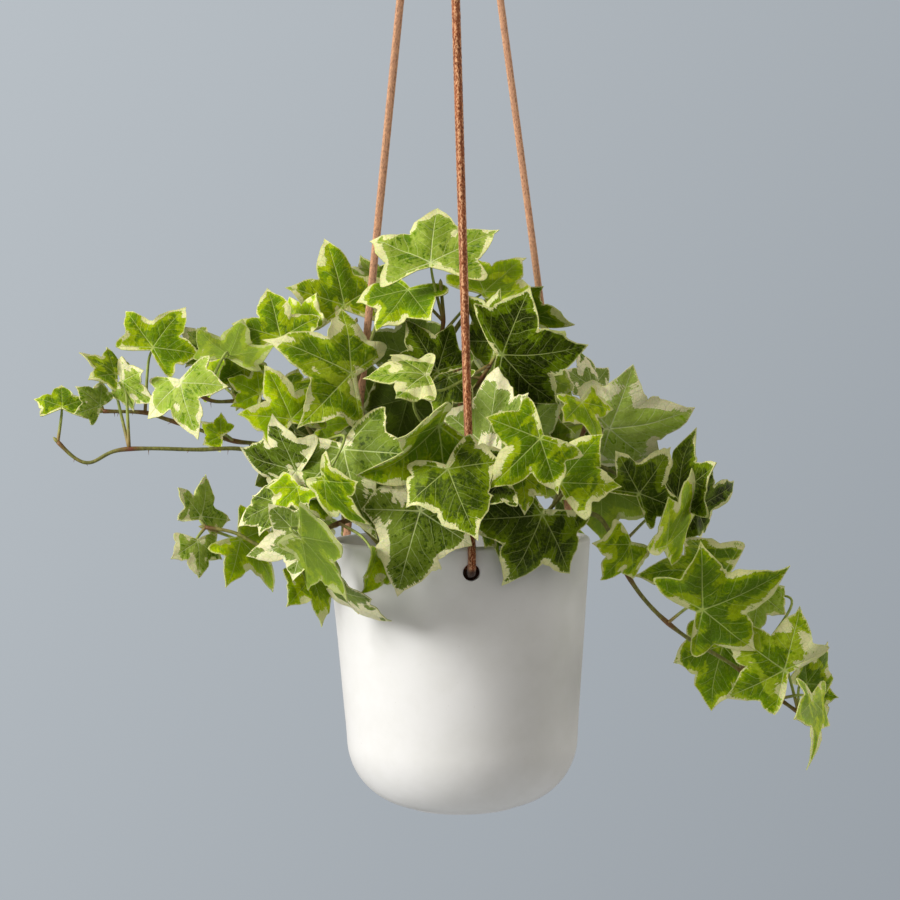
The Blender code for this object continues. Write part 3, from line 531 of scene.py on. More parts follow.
def turned(profile, steps, shape=None):
    """Points and faces of a profile turned about +Z, whose ends lie on the axis; shape may move each point."""
    points, faces = [], []
    for j in range(steps):
        for k, (radius, z) in enumerate(profile[1:-1]):
            spot = radial(360 * j / steps, radius, z)
            points.append(shape(spot, k) if shape else spot)
    row = len(profile) - 2
    for j in range(steps):
        for k in range(row - 1):
            a, b = j * row + k, (j + 1) % steps * row + k
            faces.append((a, a + 1, b + 1, b))
    top, foot = len(points), len(points) + 1
    points += [Vector((0, 0, profile[0][1])), Vector((0, 0, profile[-1][1]))]
    for j in range(steps):
        a, b = j * row, (j + 1) % steps * row
        faces += [(a, b, top), (b + row - 1, a + row - 1, foot)]
    return points, faces


def thrown(spot, k):
    """The wall's slight unevenness, a tenth of a millimetre or so."""
    swell = noise.noise(Vector((spot.x * 22, spot.y * 22, spot.z * 30))) * 0.22 * MM
    out = Vector((spot.x, spot.y, 0.0))
    return spot + out.normalized() * swell * min(1.0, out.length / (30 * MM)) if out.length > 0 else spot


def drilled(target, cutters):
    """Cuts the drills out of the target's mesh, and keeps the mesh alone."""
    for k, (points, faces) in enumerate(cutters):
        tool = bpy.data.objects.new("drill", mesh_of("drill", points, faces))
        bpy.context.scene.collection.objects.link(tool)
        slot = target.modifiers.new(f"hole_{k}", "BOOLEAN")
        slot.operation = "DIFFERENCE"
        slot.object = tool
    bpy.context.view_layer.update()
    cut = bpy.data.meshes.new_from_object(target.evaluated_get(bpy.context.evaluated_depsgraph_get()))
    for slot in list(target.modifiers):
        tool = slot.object
        target.modifiers.remove(slot)
        bpy.data.objects.remove(tool, do_unlink=True)
    bpy.data.objects.remove(target, do_unlink=True)
    return cut


def eased_drill(azimuth):
    """A round drill that flares where it meets the wall's two faces, so that the glazed hole has soft edges."""
    middle = radial(azimuth, outer_radius(HOLE_DROP) - WALL / 2, RIM_Z - HOLE_DROP)
    half = WALL / 2
    ease = 0.6 * MM
    bow = [(half + 6 * MM, ease + 6 * MM)]
    for k in range(5):
        a = math.radians(90 * k / 4)
        bow.append((half + 0.1 * MM - ease * (1 - math.cos(a)), ease * (1 - math.sin(a))))
    rings = [*bow, *[(-x, r) for x, r in reversed(bow)]]
    lie = Matrix.Translation(middle) @ Matrix.Rotation(math.radians(azimuth), 4, "Z")
    points, faces = [], []
    sides = 40
    for x, extra in rings:
        for k in range(sides):
            a = 2 * math.pi * k / sides
            radius = HOLE_RADIUS + extra
            points.append(lie @ Vector((x, radius * math.cos(a), radius * math.sin(a))))
    for i in range(len(rings) - 1):
        for k in range(sides):
            a, b = sides * i + k, sides * i + (k + 1) % sides
            faces.append((a, a + sides, b + sides, b))
    faces += [tuple(range(sides)), tuple(reversed(range(len(points) - sides, len(points))))]
    return points, faces


glaze = Finish("white_glaze")
spot = glaze.place()
wave = glaze.cloud(glaze.stretched(spot, (1.0, 1.0, 1.6)), 26.0, 2.0, 0.5)
dimple = glaze.cloud(spot, 420.0, 2.0, 0.6)
mottle = glaze.cloud(spot, 60.0, 3.0, 0.6)
speck = glaze.cloud(spot, 900.0, 1.0)
body = glaze.mix(mottle.step(0.35, 0.7), tone(240, 239, 237), tone(236, 235, 232))
body = glaze.mix(speck.step(0.77, 0.82) * 0.3, body, tone(186, 180, 170))
WHITE_GLAZE = glaze.wear(
    Base_Color=body,
    Roughness=0.42 + mottle * 0.10,
    Normal=glaze.bump(dimple, 0.05 * MM, 0.4, glaze.bump(wave, 0.5 * MM, 0.15)),
    Coat_Weight=0.15,
    Coat_Roughness=0.3,
)

points, faces = turned(pot_profile(), POT_STEPS, thrown)
raw = bpy.data.objects.new("raw_pot", mesh_of("raw_pot", points, faces))
bpy.context.scene.collection.objects.link(raw)
pot_mesh = drilled(raw, [eased_drill(azimuth) for azimuth in HOLE_AZIMUTHS.values()])
glazed_pot = piece("glazed_pot", pot_mesh, WHITE_GLAZE)
pot_mesh.set_sharp_from_angle(angle=math.radians(40))
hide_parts("pot")

# ---- Compost ----
# Dark peat compost, heaped a little in the middle and packed to just under the knots. Loose crumbs and shreds of
# bark lie on top.

SOIL_DROP = 21.0 * MM
SOIL_HEAP = 7.0 * MM
SOIL_Z = RIM_Z - SOIL_DROP
DOME_STEPS = 34
CRUMBS = 760

soil_edge = inner_radius(SOIL_DROP) - 2 * GAP


def soil_height(x, y):
    share = min(1.0, math.hypot(x, y) / soil_edge)
    return SOIL_Z + SOIL_HEAP * (1 - share**2)


def crumbled(spot, k):
    """Lumps in the top face only, flattening out at the wall."""
    if k >= DOME_STEPS:
        return spot
    reach = math.hypot(spot.x, spot.y) / soil_edge
    lump = noise.noise(spot * 150) * 2.2 * MM + noise.noise(spot * 480) * 1.1 * MM
    return spot + Vector((0, 0, lump * min(1.0, (1.0 - reach) * 12)))


def soil_profile():
    foot_z = RIM_Z - POT_HEIGHT
    corner_z = foot_z + FOOT_STEP + CORNER_RADIUS
    corner_r = outer_radius(RIM_Z - corner_z) - CORNER_RADIUS
    inner_corner = CORNER_RADIUS - WALL - 2 * GAP
    dome = [(soil_edge * k / DOME_STEPS, soil_height(soil_edge * k / DOME_STEPS, 0)) for k in range(DOME_STEPS)]
    side = arc(corner_r, corner_z, inner_corner, -5, -80, 8)
    return [*dome, (soil_edge, SOIL_Z), *side, (0.0, corner_z - inner_corner - 0.3 * MM)]


peat = Finish("dark_compost")
spot = peat.place()
crumb = peat.cloud(spot, 700.0, 4.0, 0.7)
patch = peat.cloud(spot, 120.0, 2.0)
grains = peat.cells(spot, 420.0)
earth = peat.mix(crumb.step(0.35, 0.65), tone(34, 23, 15), tone(88, 62, 42))
earth = peat.mix(patch.step(0.45, 0.75) * 0.5, earth, tone(54, 40, 28))
earth = peat.mix((grains * 0.7 + crumb * 0.3).step(0.60, 0.72), earth, tone(128, 94, 62))
earth = peat.mix((grains * 0.8 + crumb * 0.2).step(0.26, 0.20), earth, tone(22, 15, 11))
COMPOST = peat.wear(
    Base_Color=earth,
    Roughness=0.85 + patch * 0.12,
    Normal=peat.bump(crumb * 0.7 + grains * 0.5, 1.2 * MM, 0.9),
    Specular_IOR_Level=0.2,
)

dice = random.Random(5)
points, faces = turned(soil_profile(), 96, crumbled)
lump = bmesh.new()
bmesh.ops.create_icosphere(lump, subdivisions=2, radius=1.0)
lump_points = [v.co.copy() for v in lump.verts]
lump_faces = [tuple(v.index for v in f.verts) for f in lump.faces]
lump.free()
for _ in range(CRUMBS):
    reach, way = soil_edge * 0.955 * math.sqrt(dice.random()), dice.uniform(0, 360)
    ground = radial(way, reach, 0.0)
    size = dice.uniform(0.5, 1.0) ** 2 * 2.7 * MM
    ground.z = soil_height(ground.x, ground.y) + size * 0.25
    long = dice.choice([1.0, 1.0, 1.3, 2.6])
    turn = Matrix.Rotation(dice.uniform(0, 6.3), 3, "Z") @ Matrix.Rotation(dice.uniform(-0.6, 0.6), 3, "X")
    first = len(points)
    for v in lump_points:
        bulge = 1.0 + 0.55 * noise.noise(v * 1.9 + ground * 500)
        points.append(ground + turn @ Vector((v.x * long, v.y * 0.8, v.z * 0.6)) * size * bulge)
    faces += [tuple(i + first for i in face) for face in lump_faces]
compost = piece("compost", mesh_of("compost", points, faces), COMPOST, smooth=False)
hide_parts("soil")

# ---- Where the ivy grows ----
# Sixteen leafy sprigs rooted in the compost: eleven seen from the front, set one by one, and five that arch out on
# the far side by rule. Each stem grows straight out of the compost; each leaf stands on its own stalk.

ROOT_DEPTH = 12.0 * MM
STEM_RADIUS = 1.3 * MM
STALK_RADIUS = 0.75 * MM
BLADE = 0.7 * MM
MIDRIB_LIFT = 0.03
SMALL_LEAF = 24.0
CLEARANCE = 0.45 * MM
STOPPER_SPACE = 1.5 * STOPPER_RADIUS
FRAME_STEPS = 40

# Leaf forms: length of the side lobes, their angle from the middle lobe in degrees, the reach of the notches
# between them, and half the middle lobe's breadth, as shares of the middle lobe's length.
FORMS = {
    "star": (0.78, 67, 0.46, 0.21),
    "open": (0.87, 60, 0.51, 0.24),
    "narrow": (0.82, 52, 0.49, 0.21),
    "broad": (0.70, 74, 0.57, 0.27),
    "wide": (1.00, 59, 0.58, 0.26),
}

# Ways a blade bends: how far its lobes drop towards their tips, and how steeply its two halves rise from the midrib.
BENDS = {
    "flat": (0.10, 0.06),
    "droop": (0.22, 0.02),
    "cup": (-0.16, 0.14),
    "fold": (0.12, 0.75),
}

# Front stems, in mm as seen from the front: across from the pot's axis, up from the rim, and away from the viewer.
# Leaves: where the stalk joins the blade (across, up, away), length of the middle lobe, then degrees of heading
# (clockwise from straight up), of tip tilt towards the viewer and of turn of the right side towards the viewer,
# then form, bend and colouring.
SPRIGS = {
    "ivy_crown": {
        "stems": [
            [(4, 6), (1, 20, 2), (-4, 55, -6), (-8, 92, -14), (-6, 108, -18), (-7, 126, -24)],
            [(-4, 55, -6), (8, 72, -14), (17, 86, -22)],
            [(-8, 92, -14), (6, 112, -6), (16, 118, 2), (28, 116, 8)],
        ],
        "leaves": [
            (-12.0, 137.5, -30, 36, 6, -35, 10, "wide", "flat", "soft"),
            (-23.5, 124.0, -18, 28, -144, 30, -40, "open", "flat", "mid"),
            (14.5, 122.5, -8, 27, 56, -25, 45, "open", "cup", "lime"),
            (26.5, 115.5, 12, 32, 110, 10, -60, "narrow", "flat", "mid"),
            (23.0, 91.0, -40, 39, 92, 25, -30, "open", "droop", "dark"),
            (19.5, 97.5, -18, 29, -31, -15, 55, "open", "flat", "dark"),
            (-9.5, 83.5, -16, 28, -28, 0, -25, "narrow", "flat", "dark"),
            (-4.0, 80.0, -24, 22, -164, 10, -35, "open", "flat", "dark"),
            (-15.5, 79.5, -34, 28, -81, 5, -55, "narrow", "droop", "soft"),
        ],
    },
    "ivy_upper_left": {
        "stems": [
            [(-20, 14), (-34, 20, 18), (-46, 58, 12), (-54, 90, 12), (-50, 108, 22)],
            [(-46, 58, 12), (-62, 80, 2), (-76, 92, 2)],
        ],
        "leaves": [
            (-55.5, 117.0, 28, 35, -13, -15, -25, "star", "flat", "mid"),
            (-87.5, 101.5, -5, 30, -15, -30, -15, "star", "flat", "mid"),
            (-52.5, 83.0, -32, 42, -61, 18, -30, "star", "droop", "edged"),
            (-37.0, 128.0, 36, 21, -78, -5, 52, "open", "flat", "pale"),
            (-76.0, 105.0, 12, 20, -30, -20, 30, "open", "flat", "lime"),
        ],
    },
    "ivy_left": {
        "stems": [
            [(-24, -4), (-40, 14, -14), (-58, 34, -26), (-70, 48, -28), (-78, 62, -26)],
            [(-58, 34, -26), (-50, 38, -40), (-54, 42, -50)],
        ],
        "leaves": [
            (-83.0, 60.5, -44, 29, -22, -10, -28, "star", "droop", "lime"),
            (-68.5, 56.0, -22, 16, 80, 15, 40, "open", "flat", "lime"),
            (-84.5, 72.5, -10, 21, 63, -10, 45, "narrow", "flat", "mid"),
            (-98.5, 73.5, -6, 17, -62, -5, -20, "narrow", "flat", "lime"),
            (-57.0, 45.0, -66, 43, 167, 22, -25, "star", "droop", "grey"),
            (-81.0, 34.5, -54, 32, -72, -20, 35, "open", "flat", "grey"),
            (-80.5, 24.5, -48, 18, -134, 25, -25, "narrow", "flat", "lime"),
            (-73.5, 24.5, -54, 18, 150, 0, -15, "narrow", "flat", "lime"),
            (-66.5, 28.0, -58, 31, 142, 10, -60, "open", "flat", "mid"),
        ],
    },
    "ivy_lower_left": {
        "stems": [
            [(-24, -20), (-44, 8, -38), (-60, 8, -48), (-76, 0, -52), (-96, -4, -50), (-112, 4, -48), (-127, 7, -46)],
        ],
        "leaves": [
            (-91.0, 18.5, -46, 22, -115, -10, -45, "narrow", "flat", "grey"),
            (-78.0, 0.5, -60, 27, -109, -5, -20, "star", "cup", "cream"),
            (-78.5, -2.0, -70, 39, 140, 10, 122, "open", "flat", "mid"),
            (-74.5, -18.5, -60, 23, 156, 15, 55, "open", "droop", "lime"),
            (-60.5, -25.5, -74, 28, 129, 0, -70, "narrow", "flat", "cream"),
            (-42.0, -8.0, -76, 21, -164, 5, 50, "narrow", "fold", "lime"),
            (-109.5, 0.5, -54, 31, 139, -15, 50, "star", "droop", "lime"),
            (-129.0, 12.5, -46, 23, 10, -30, -45, "star", "flat", "pale"),
            (-131.0, 0.0, -50, 17, 171, 20, 35, "open", "droop", "pale"),
        ],
    },
    "ivy_front": {
        "stems": [
            [(-8, -26), (-12, 12, -48), (-12, 26, -60), (-8, 40, -66)],
        ],
        "leaves": [
            (-9.5, 56.5, -72, 44, -130, 10, 45, "narrow", "fold", "mid"),
            (-5.0, 34.5, -88, 36, 159, 25, -5, "broad", "droop", "dark"),
            (23.0, 29.5, -80, 27, -81, 0, -45, "open", "flat", "dark"),
            (-19.5, 11.0, -80, 43, -163, 10, -5, "broad", "droop", "grey"),
            (-13.5, 27.5, -74, 18, -145, 5, 40, "narrow", "flat", "lime"),
            (-27.0, 24.5, -66, 19, -103, -5, -35, "narrow", "flat", "lime"),
        ],
    },
    "ivy_front_right": {
        "stems": [
            [(16, -24), (26, 14, -46), (34, 26, -60), (40, 38, -66)],
        ],
        "leaves": [
            (14.5, 43.5, -62, 42, 17, -25, 50, "open", "cup", "cream"),
            (41.0, 48.0, -88, 35, -134, 5, 0, "star", "droop", "mid"),
            (51.5, 26.5, -74, 30, 37, -5, 30, "open", "droop", "mid"),
            (31.5, 29.5, -78, 20, 171, 20, 25, "narrow", "flat", "mid"),
            (42.0, 10.5, -75, 38, -156, 5, 24, "wide", "droop", "dark"),
            (14.0, 10.0, -76, 29, 154, 10, 38, "narrow", "fold", "mid"),
        ],
    },
    "ivy_right": {
        "stems": [
            [(26, 0), (48, 16, -10), (66, 34, -18), (80, 30, -20), (98, 16, -16)],
            [(48, 16, -10), (60, 44, -14), (66, 60, -16)],
        ],
        "leaves": [
            (62.5, 66.5, -46, 22, 156, 10, 40, "star", "flat", "lime"),
            (76.5, 53.0, -34, 41, 84, 10, -35, "open", "droop", "frost"),
            (68.0, 73.5, -14, 20, -14, -20, -40, "narrow", "flat", "cream"),
            (90.5, 20.5, -34, 29, 39, -20, -10, "star", "flat", "dark"),
            (109.5, 17.5, -16, 34, 10, -5, 58, "narrow", "flat", "dark"),
        ],
    },
    "ivy_right_spray": {
        "stems": [
            [
                (30, -16), (52, 8, -24), (66, 11, -26), (74, 4, -28), (84, -20, -30), (96, -37, -30),
                (113, -52, -26), (134, -65, -22), (150, -77, -20), (169, -91, -20),
            ],
        ],
        "leaves": [
            (119.0, 12.5, -5, 27, 63, -30, -42, "star", "flat", "dark"),
            (103.5, -5.5, -34, 40, 25, 0, -66, "narrow", "flat", "lime"),
            (85.5, -5.0, -44, 21, -146, 10, 35, "open", "droop", "mid"),
            (132.5, -21.0, -20, 42, -85, 5, -55, "star", "flat", "edged"),
            (121.5, -38.5, -36, 44, 67, 10, -28, "star", "flat", "mid"),
            (131.5, -56.5, -18, 31, -163, 5, -30, "open", "droop", "mid"),
            (162.0, -69.5, -34, 38, -53, 12, 10, "star", "flat", "edged"),
            (151.0, -31.0, 2, 19, -160, 15, -45, "open", "droop", "pale"),
            (173.5, -76.5, -8, 22, 36, -10, -38, "open", "flat", "mid"),
            (176.0, -84.5, -26, 32, 178, 12, 62, "star", "flat", "lime"),
            (178.5, -82.0, -12, 19, 176, 20, -66, "open", "droop", "mid"),
        ],
    },
    "ivy_low_vine": {
        "stems": [
            [
                (-32, 0), (-52, 10, -6), (-76, 28, -14), (-94, 40, -18), (-108, 46, -20), (-130, 46, -24),
                (-155, 47, -28), (-172, 46, -30), (-184, 40, -31), (-192, 43, -31), (-200, 51, -31),
            ],
        ],
        "leaves": [
            (-197.5, 68.5, -32, 16, -8, -40, -15, "open", "droop", "mid"),
            (-170.5, 84.5, -26, 19, -54, 10, -58, "narrow", "flat", "mid"),
            (-168.0, 81.0, -36, 20, 126, 20, -40, "narrow", "flat", "pale"),
        ],
    },
    "ivy_middle_vine": {
        "stems": [
            [
                (-32, 9), (-52, 20, 4), (-78, 40, -2), (-98, 48, -8), (-112, 50, -12), (-132, 57, -16),
                (-147, 62, -18), (-156, 65, -20), (-177, 66, -22),
            ],
        ],
        "leaves": [
            (-177.5, 69.0, -24, 15, -42, 30, -30, "open", "droop", "pale"),
            (-151.5, 97.5, -24, 27, 35, -22, 8, "star", "flat", "mid"),
            (-137.5, 79.5, -40, 28, 166, 28, -15, "star", "droop", "pale"),
            (-118.0, 53.0, -18, 12, -60, 0, 20, "open", "flat", "lime"),
        ],
    },
    "ivy_high_vine": {
        "stems": [
            [(-30, 20), (-48, 26, 16), (-70, 54, 8), (-90, 68, 0), (-108, 70, -6), (-122, 70, -10), (-131, 75, -12)],
        ],
        "leaves": [
            (-127.0, 97.0, -16, 16, -87, 15, -25, "narrow", "flat", "pale"),
            (-113.5, 92.5, -24, 24, 17, -50, 185, "open", "flat", "lime"),
            (-106.0, 86.0, -14, 20, -175, 10, 40, "open", "flat", "mid"),
            (-121.0, 80.0, -2, 17, -40, -20, 10, "open", "flat", "lime"),
        ],
    },
}

# Sprigs on the far side: the bearing that each faces, in degrees from the front towards +X, and how far it reaches
# out, up and down, and its count of leaves.
FAR_SPRIGS = {
    "ivy_back_right": (135, 88, 56, -6, 6),
    "ivy_back_low": (164, 96, 66, -26, 7),
    "ivy_back": (196, 92, 78, -12, 7),
    "ivy_back_left": (222, 90, 60, -8, 6),
    "ivy_back_top": (182, 46, 108, 62, 6),
}
FAR_SEED = 79


def view_turn(bearing):
    """Axes across, away and up for a viewer who stands at a bearing from the front, towards +X."""
    return Matrix.Rotation(math.radians(bearing), 3, "Z")


def as_seen(across, up, away):
    """A point of the front view, given in mm on the plane through the pot's axis and then carried to its depth."""
    reach = 1.0 + away * MM / VIEW_DISTANCE
    x = across * MM * reach
    z = VIEW_HEIGHT + (up * MM - VIEW_HEIGHT) * reach
    return Vector((x, away * MM, RIM_Z + z))


def rooted(x, y, above, steps):
    """A stem's route: straight up out of the soil at (x, y), then smoothly through the points above."""
    root = Vector((x, y, SOIL_Z - ROOT_DEPTH))
    return [root, *smooth_route([Vector((x, y, SOIL_Z + SOIL_HEAP + 2 * MM)), *above], steps)]


def stem_route(points, steps):
    seen = [as_seen(*point) for point in points if len(point) == 3]
    if len(points[0]) == 2:
        return rooted(points[0][0] * MM, points[0][1] * MM, seen, steps)
    return smooth_route(seen, steps)


def attitude(bearing, heading, tilt, turn):
    """Axes of a blade: x to its right, y along its midrib to the tip, z out of its upper face."""
    view = view_turn(bearing) @ Matrix(((1, 0, 0), (0, 0, -1), (0, 1, 0)))
    return (
        view
        @ Matrix.Rotation(math.radians(-heading), 3, "Z")
        @ Matrix.Rotation(math.radians(tilt), 3, "X")
        @ Matrix.Rotation(math.radians(-turn), 3, "Y")
    )


def at(angle, reach, off=0.0):
    """A point of the flat blade: reach along a ray at an angle from the midrib, and off to its right."""
    a = math.radians(angle)
    return (reach * math.sin(a) + off * math.cos(a), reach * math.cos(a) - off * math.sin(a))


def facing_up(points, triangle):
    (ax, ay), (bx, by), (cx, cy) = (points[i] for i in triangle)
    area = (bx - ax) * (cy - ay) - (by - ay) * (cx - ax)
    return triangle if area > 0 else triangle[::-1]


def plain_outline(form, small):
    """The blade's plain flat pattern for a middle lobe of length 1: points and the upper face's triangles."""
    side_length, spread, notch, breadth = FORMS[form]
    points = [(0.0, 0.0), at(0, 0.5), at(0, 1.0), at(0, 0.6, -breadth), at(0, 0.6, breadth), (0.0, -0.07)]
    base, rib, tip, left, right, heel = range(6)
    triangles = []
    inner = {}
    for hand in (1, -1):
        inner[hand] = len(points)
        points.append(at(hand * spread * 0.48, notch))
    triangles += [(base, inner[-1], rib), (inner[-1], left, rib), (left, tip, rib)]
    triangles += [(rib, tip, right), (rib, right, inner[1]), (base, rib, inner[1])]
    edge = {}
    for hand in (1, -1):
        first = len(points)
        outer_notch = at(hand * (spread + 29), side_length * 0.56)
        basal = at(hand * (spread + 54), side_length * 0.66)
        lobe = at(hand * spread, side_length)
        if small:
            points += [lobe, outer_notch, basal]
            t, n, b = first, first + 1, first + 2
            fan = [(base, inner[hand], t), (base, t, n)]
            edge[hand] = [inner[hand], t, n, b]
        else:
            upper = at(hand * spread, side_length * 0.64, -hand * breadth * 0.8)
            lower = at(hand * spread, side_length * 0.64, hand * breadth * 0.8)
            middle = at(hand * spread, side_length * 0.5)
            points += [lobe, outer_notch, basal, upper, lower, middle]
            t, n, b, u, w, m = range(first, first + 6)
            fan = [(base, inner[hand], m), (inner[hand], u, m), (u, t, m), (m, t, w), (m, w, n), (base, m, n)]
            edge[hand] = [inner[hand], u, t, w, n, b]
        fan += [(base, n, b), (base, b, heel)]
        triangles += fan if hand < 0 else [(a, c, d) for a, d, c in fan]
    loop = [tip, right, *edge[1], heel, *reversed(edge[-1]), left]
    return points, [facing_up(points, t) for t in triangles], loop


def plain_blade(size, form, bend, small, thick=BLADE, grow=1.0):
    """The plain closed blade that the CAD frame has, in its own axes."""
    flat, triangles, loop = plain_outline(form, small)
    drop, rise = BENDS[bend]
    upper, lower = [], []
    for i, (x, y) in enumerate(flat):
        reach = math.hypot(x, y)
        lift = MIDRIB_LIFT if i == 1 else 0.0
        height = size * (rise * abs(x) - drop * reach * reach + lift)
        upper.append(Vector((grow * size * x, grow * size * y, height + thick / 2)))
        lower.append(Vector((grow * size * x, grow * size * y, height - thick / 2)))
    count = len(flat)
    faces = [tuple(t) for t in triangles]
    faces += [tuple(i + count for i in reversed(t)) for t in triangles]
    for a, b in zip(loop, loop[1:] + loop[:1]):
        faces += [(a, b, b + count), (a, b + count, a + count)]
    return upper + lower, faces


def tree(shape):
    return BVHTree.FromPolygons(*shape)


def thick_line(points, radius):
    """A square tube round a route, as a shape for finding what would touch it."""
    rings, faces = [], []
    for i, point in enumerate(points):
        along = (points[min(i + 1, len(points) - 1)] - points[max(i - 1, 0)]).normalized()
        side = along.orthogonal().normalized() * radius
        other = along.cross(side)
        rings += [point + side, point + other, point - side, point - other]
    for i in range(len(points) - 1):
        for k in range(4):
            a, b = 4 * i + k, 4 * i + (k + 1) % 4
            faces += [(a, b, b + 4), (a, b + 4, a + 4)]
    return rings, faces


class Leaf:
    """One leaf: where its blade joins the stalk, how it lies for a viewer at a bearing, and its colouring."""

    def __init__(self, sprig, spot, size, bearing, heading, tilt, turn, form, bend, colouring):
        self.sprig = sprig
        self.spot = spot
        self.bearing = bearing
        self.place = self.seen_at(0, 0)
        self.size = size * MM * (1.0 + spot[2] * MM / VIEW_DISTANCE)
        self.axes = attitude(bearing, heading, tilt, turn)
        self.form = form
        self.bend = bend
        self.small = size < SMALL_LEAF or bearing != 0
        self.stalk = None
        self.colouring = colouring

    def seen_at(self, away, up):
        """Its place after steps in mm away from the viewer and up, along the viewer's line of sight."""
        seen = as_seen(self.spot[0], self.spot[1] + up, self.spot[2] + away)
        return view_turn(self.bearing) @ seen

    def blade(self, clearance=0.0):
        grow = 1.0 + clearance / self.size
        points, faces = plain_blade(self.size, self.form, self.bend, self.small, BLADE + 2 * clearance, grow)
        return [self.axes @ p + self.place for p in points], faces


def far_sprig(name, dice, steps):
    """Stem route and leaves of a sprig on the far side, by rule: it arches out over the rim and hangs."""
    bearing, reach, height, end, count = FAR_SPRIGS[name]
    turn = view_turn(bearing)
    root = turn @ Vector((0.0, -22 * MM, 0.0))
    drift = dice.uniform(-6, 6)
    middle = [
        (drift * 0.3, 16, -0.42 * reach if reach > 60 else -26),
        (drift, height * 0.62, -0.5 * reach if reach > 60 else -34),
        (drift * 0.5, height * 0.9, -0.68 * reach),
        (0.0, height * 0.72, -0.86 * reach),
        (-drift, (height + end) * 0.42, -0.97 * reach),
        (-drift, end, -reach),
    ]
    routes = [rooted(root.x, root.y, [turn @ as_seen(*m) for m in middle], s) for s in (2, steps)]
    leaves = []
    along = smooth_route([Vector(m) for m in middle[1:]], 8)
    for k in range(count):
        share = (k + 0.5) / count
        spot = along[int(share * (len(along) - 1))]
        hand = 1 if k % 2 else -1
        across = spot.x + hand * dice.uniform(8, 28)
        up = spot.y + dice.uniform(-10, 12)
        away = spot.z - dice.uniform(6, 16)
        heading = hand * (60 + 100 * share + dice.uniform(-20, 20))
        size = dice.uniform(31, 43) * (1.0 - 0.25 * share)
        tilt = dice.uniform(-5, 35)
        roll = -hand * dice.uniform(-10, 35)
        form = dice.choice(["star", "open", "open", "broad"])
        bend = dice.choice(["flat", "droop", "droop", "cup"])
        colouring = ("mid", "dark", "lime", "grey", "mid", "pale", "cream")[(k * 3 + bearing) % 7]
        leaves.append(Leaf(name, (across, up, away), size, bearing, heading, tilt, roll, form, bend, colouring))
    return routes, leaves


def fixed_shapes():
    """The pot's wall, the laces and the knots, as shapes that leaves and stalks stay clear of."""
    inner_end, outer_end = 40 * MM, 90 * MM
    rim = [(inner_radius(inner_end) - CLEARANCE, RIM_Z - inner_end), (RIM_RADIUS - WALL - CLEARANCE, RIM_Z)]
    rim += [(RIM_RADIUS - WALL / 2, RIM_Z + CLEARANCE), (RIM_RADIUS + CLEARANCE, RIM_Z - WALL / 3)]
    rim += [(outer_radius(outer_end) + CLEARANCE, RIM_Z - outer_end)]
    points, faces = [], []
    for i in range(FRAME_STEPS):
        points += [radial(360 * i / FRAME_STEPS, r, z) for r, z in rim]
    for i in range(FRAME_STEPS):
        for k in range(len(rim) - 1):
            a, b = i * len(rim) + k, (i + 1) % FRAME_STEPS * len(rim) + k
            faces += [(a, a + 1, b + 1), (a, b + 1, b)]
    shapes = [(points, faces)]
    for azimuth in HOLE_AZIMUTHS.values():
        shapes.append(thick_line(lace_route(azimuth), LACE_DIAMETER * 0.55 + CLEARANCE))
        knot_line = [inner_radius(HOLE_DROP) - STOPPER_LENGTH - 2 * MM, inner_radius(HOLE_DROP)]
        knot = [radial(azimuth, radius, RIM_Z - HOLE_DROP) for radius in knot_line]
        shapes.append(thick_line(knot, STOPPER_SPACE))
    return [tree(s) for s in shapes]


# Steps tried, in mm away from the viewer and up, to bring a blade clear of those already placed.
STEPS_ASIDE = [
    (0, 0), (-2, 0), (2, 0), (-4, 0), (4, 0), (-6, 1), (6, 0), (-8, 0), (8, 0), (-10, 2), (10, 0), (-12, 0),
    (12, 2), (14, 0), (-14, 2), (17, 0), (-17, 2), (20, 0), (24, 2), (28, 0), (-20, 4), (32, 0),
]


def settle(leaves, fixed):
    """Moves each blade nearer or farther, in turn, until it crosses nothing placed before it."""
    done = []
    for leaf in leaves:
        best = None
        for away, up in STEPS_ASIDE:
            leaf.place = leaf.seen_at(away, up)
            mine = tree(leaf.blade(CLEARANCE))
            hits = sum(len(mine.overlap(t)) for t in fixed) * 4
            for other, shape in done:
                if (other.place - leaf.place).length < (other.size + leaf.size) * 1.1:
                    weight = 1 if other.sprig == leaf.sprig else 3
                    hits += weight * len(mine.overlap(shape))
            if best is None or hits < best[0]:
                best = (hits, leaf.place.copy())
            if hits == 0:
                break
        leaf.place = best[1]
        done.append((leaf, tree(leaf.blade())))
    return done


# Ways a stalk bows on its way up: to its blade's right, and back behind the blade, as shares of its length.
STALK_BOWS = [(0, 0.22), (0.18, 0.22), (-0.18, 0.22), (0, 0.4), (0.3, 0.3), (-0.3, 0.3), (0, 0.1)]


def stalk_routes(leaf, stem_points):
    """Likely stalks, best first: from the stem below the blade, up to its base from behind."""
    along, normal = leaf.axes.col[1], leaf.axes.col[2]
    wanted = leaf.place - along * leaf.size * 0.45 - normal * leaf.size * 0.45 - Vector((0, 0, leaf.size * 0.3))
    near = sorted(stem_points, key=lambda p: (p - wanted).length)
    starts = near[:1] + near[3:4] + near[6:7]
    side = leaf.axes.col[0]
    end = leaf.place + along * leaf.size * 0.08 - normal * BLADE * 0.1
    for start in starts:
        reach = (leaf.place - start).length
        for bow_side, bow_back in STALK_BOWS:
            neck = leaf.place - normal * reach * bow_back - along * reach * 0.12 + side * reach * bow_side
            yield [start, start.lerp(neck, 0.85) + Vector((0, 0, reach * 0.04)), end]


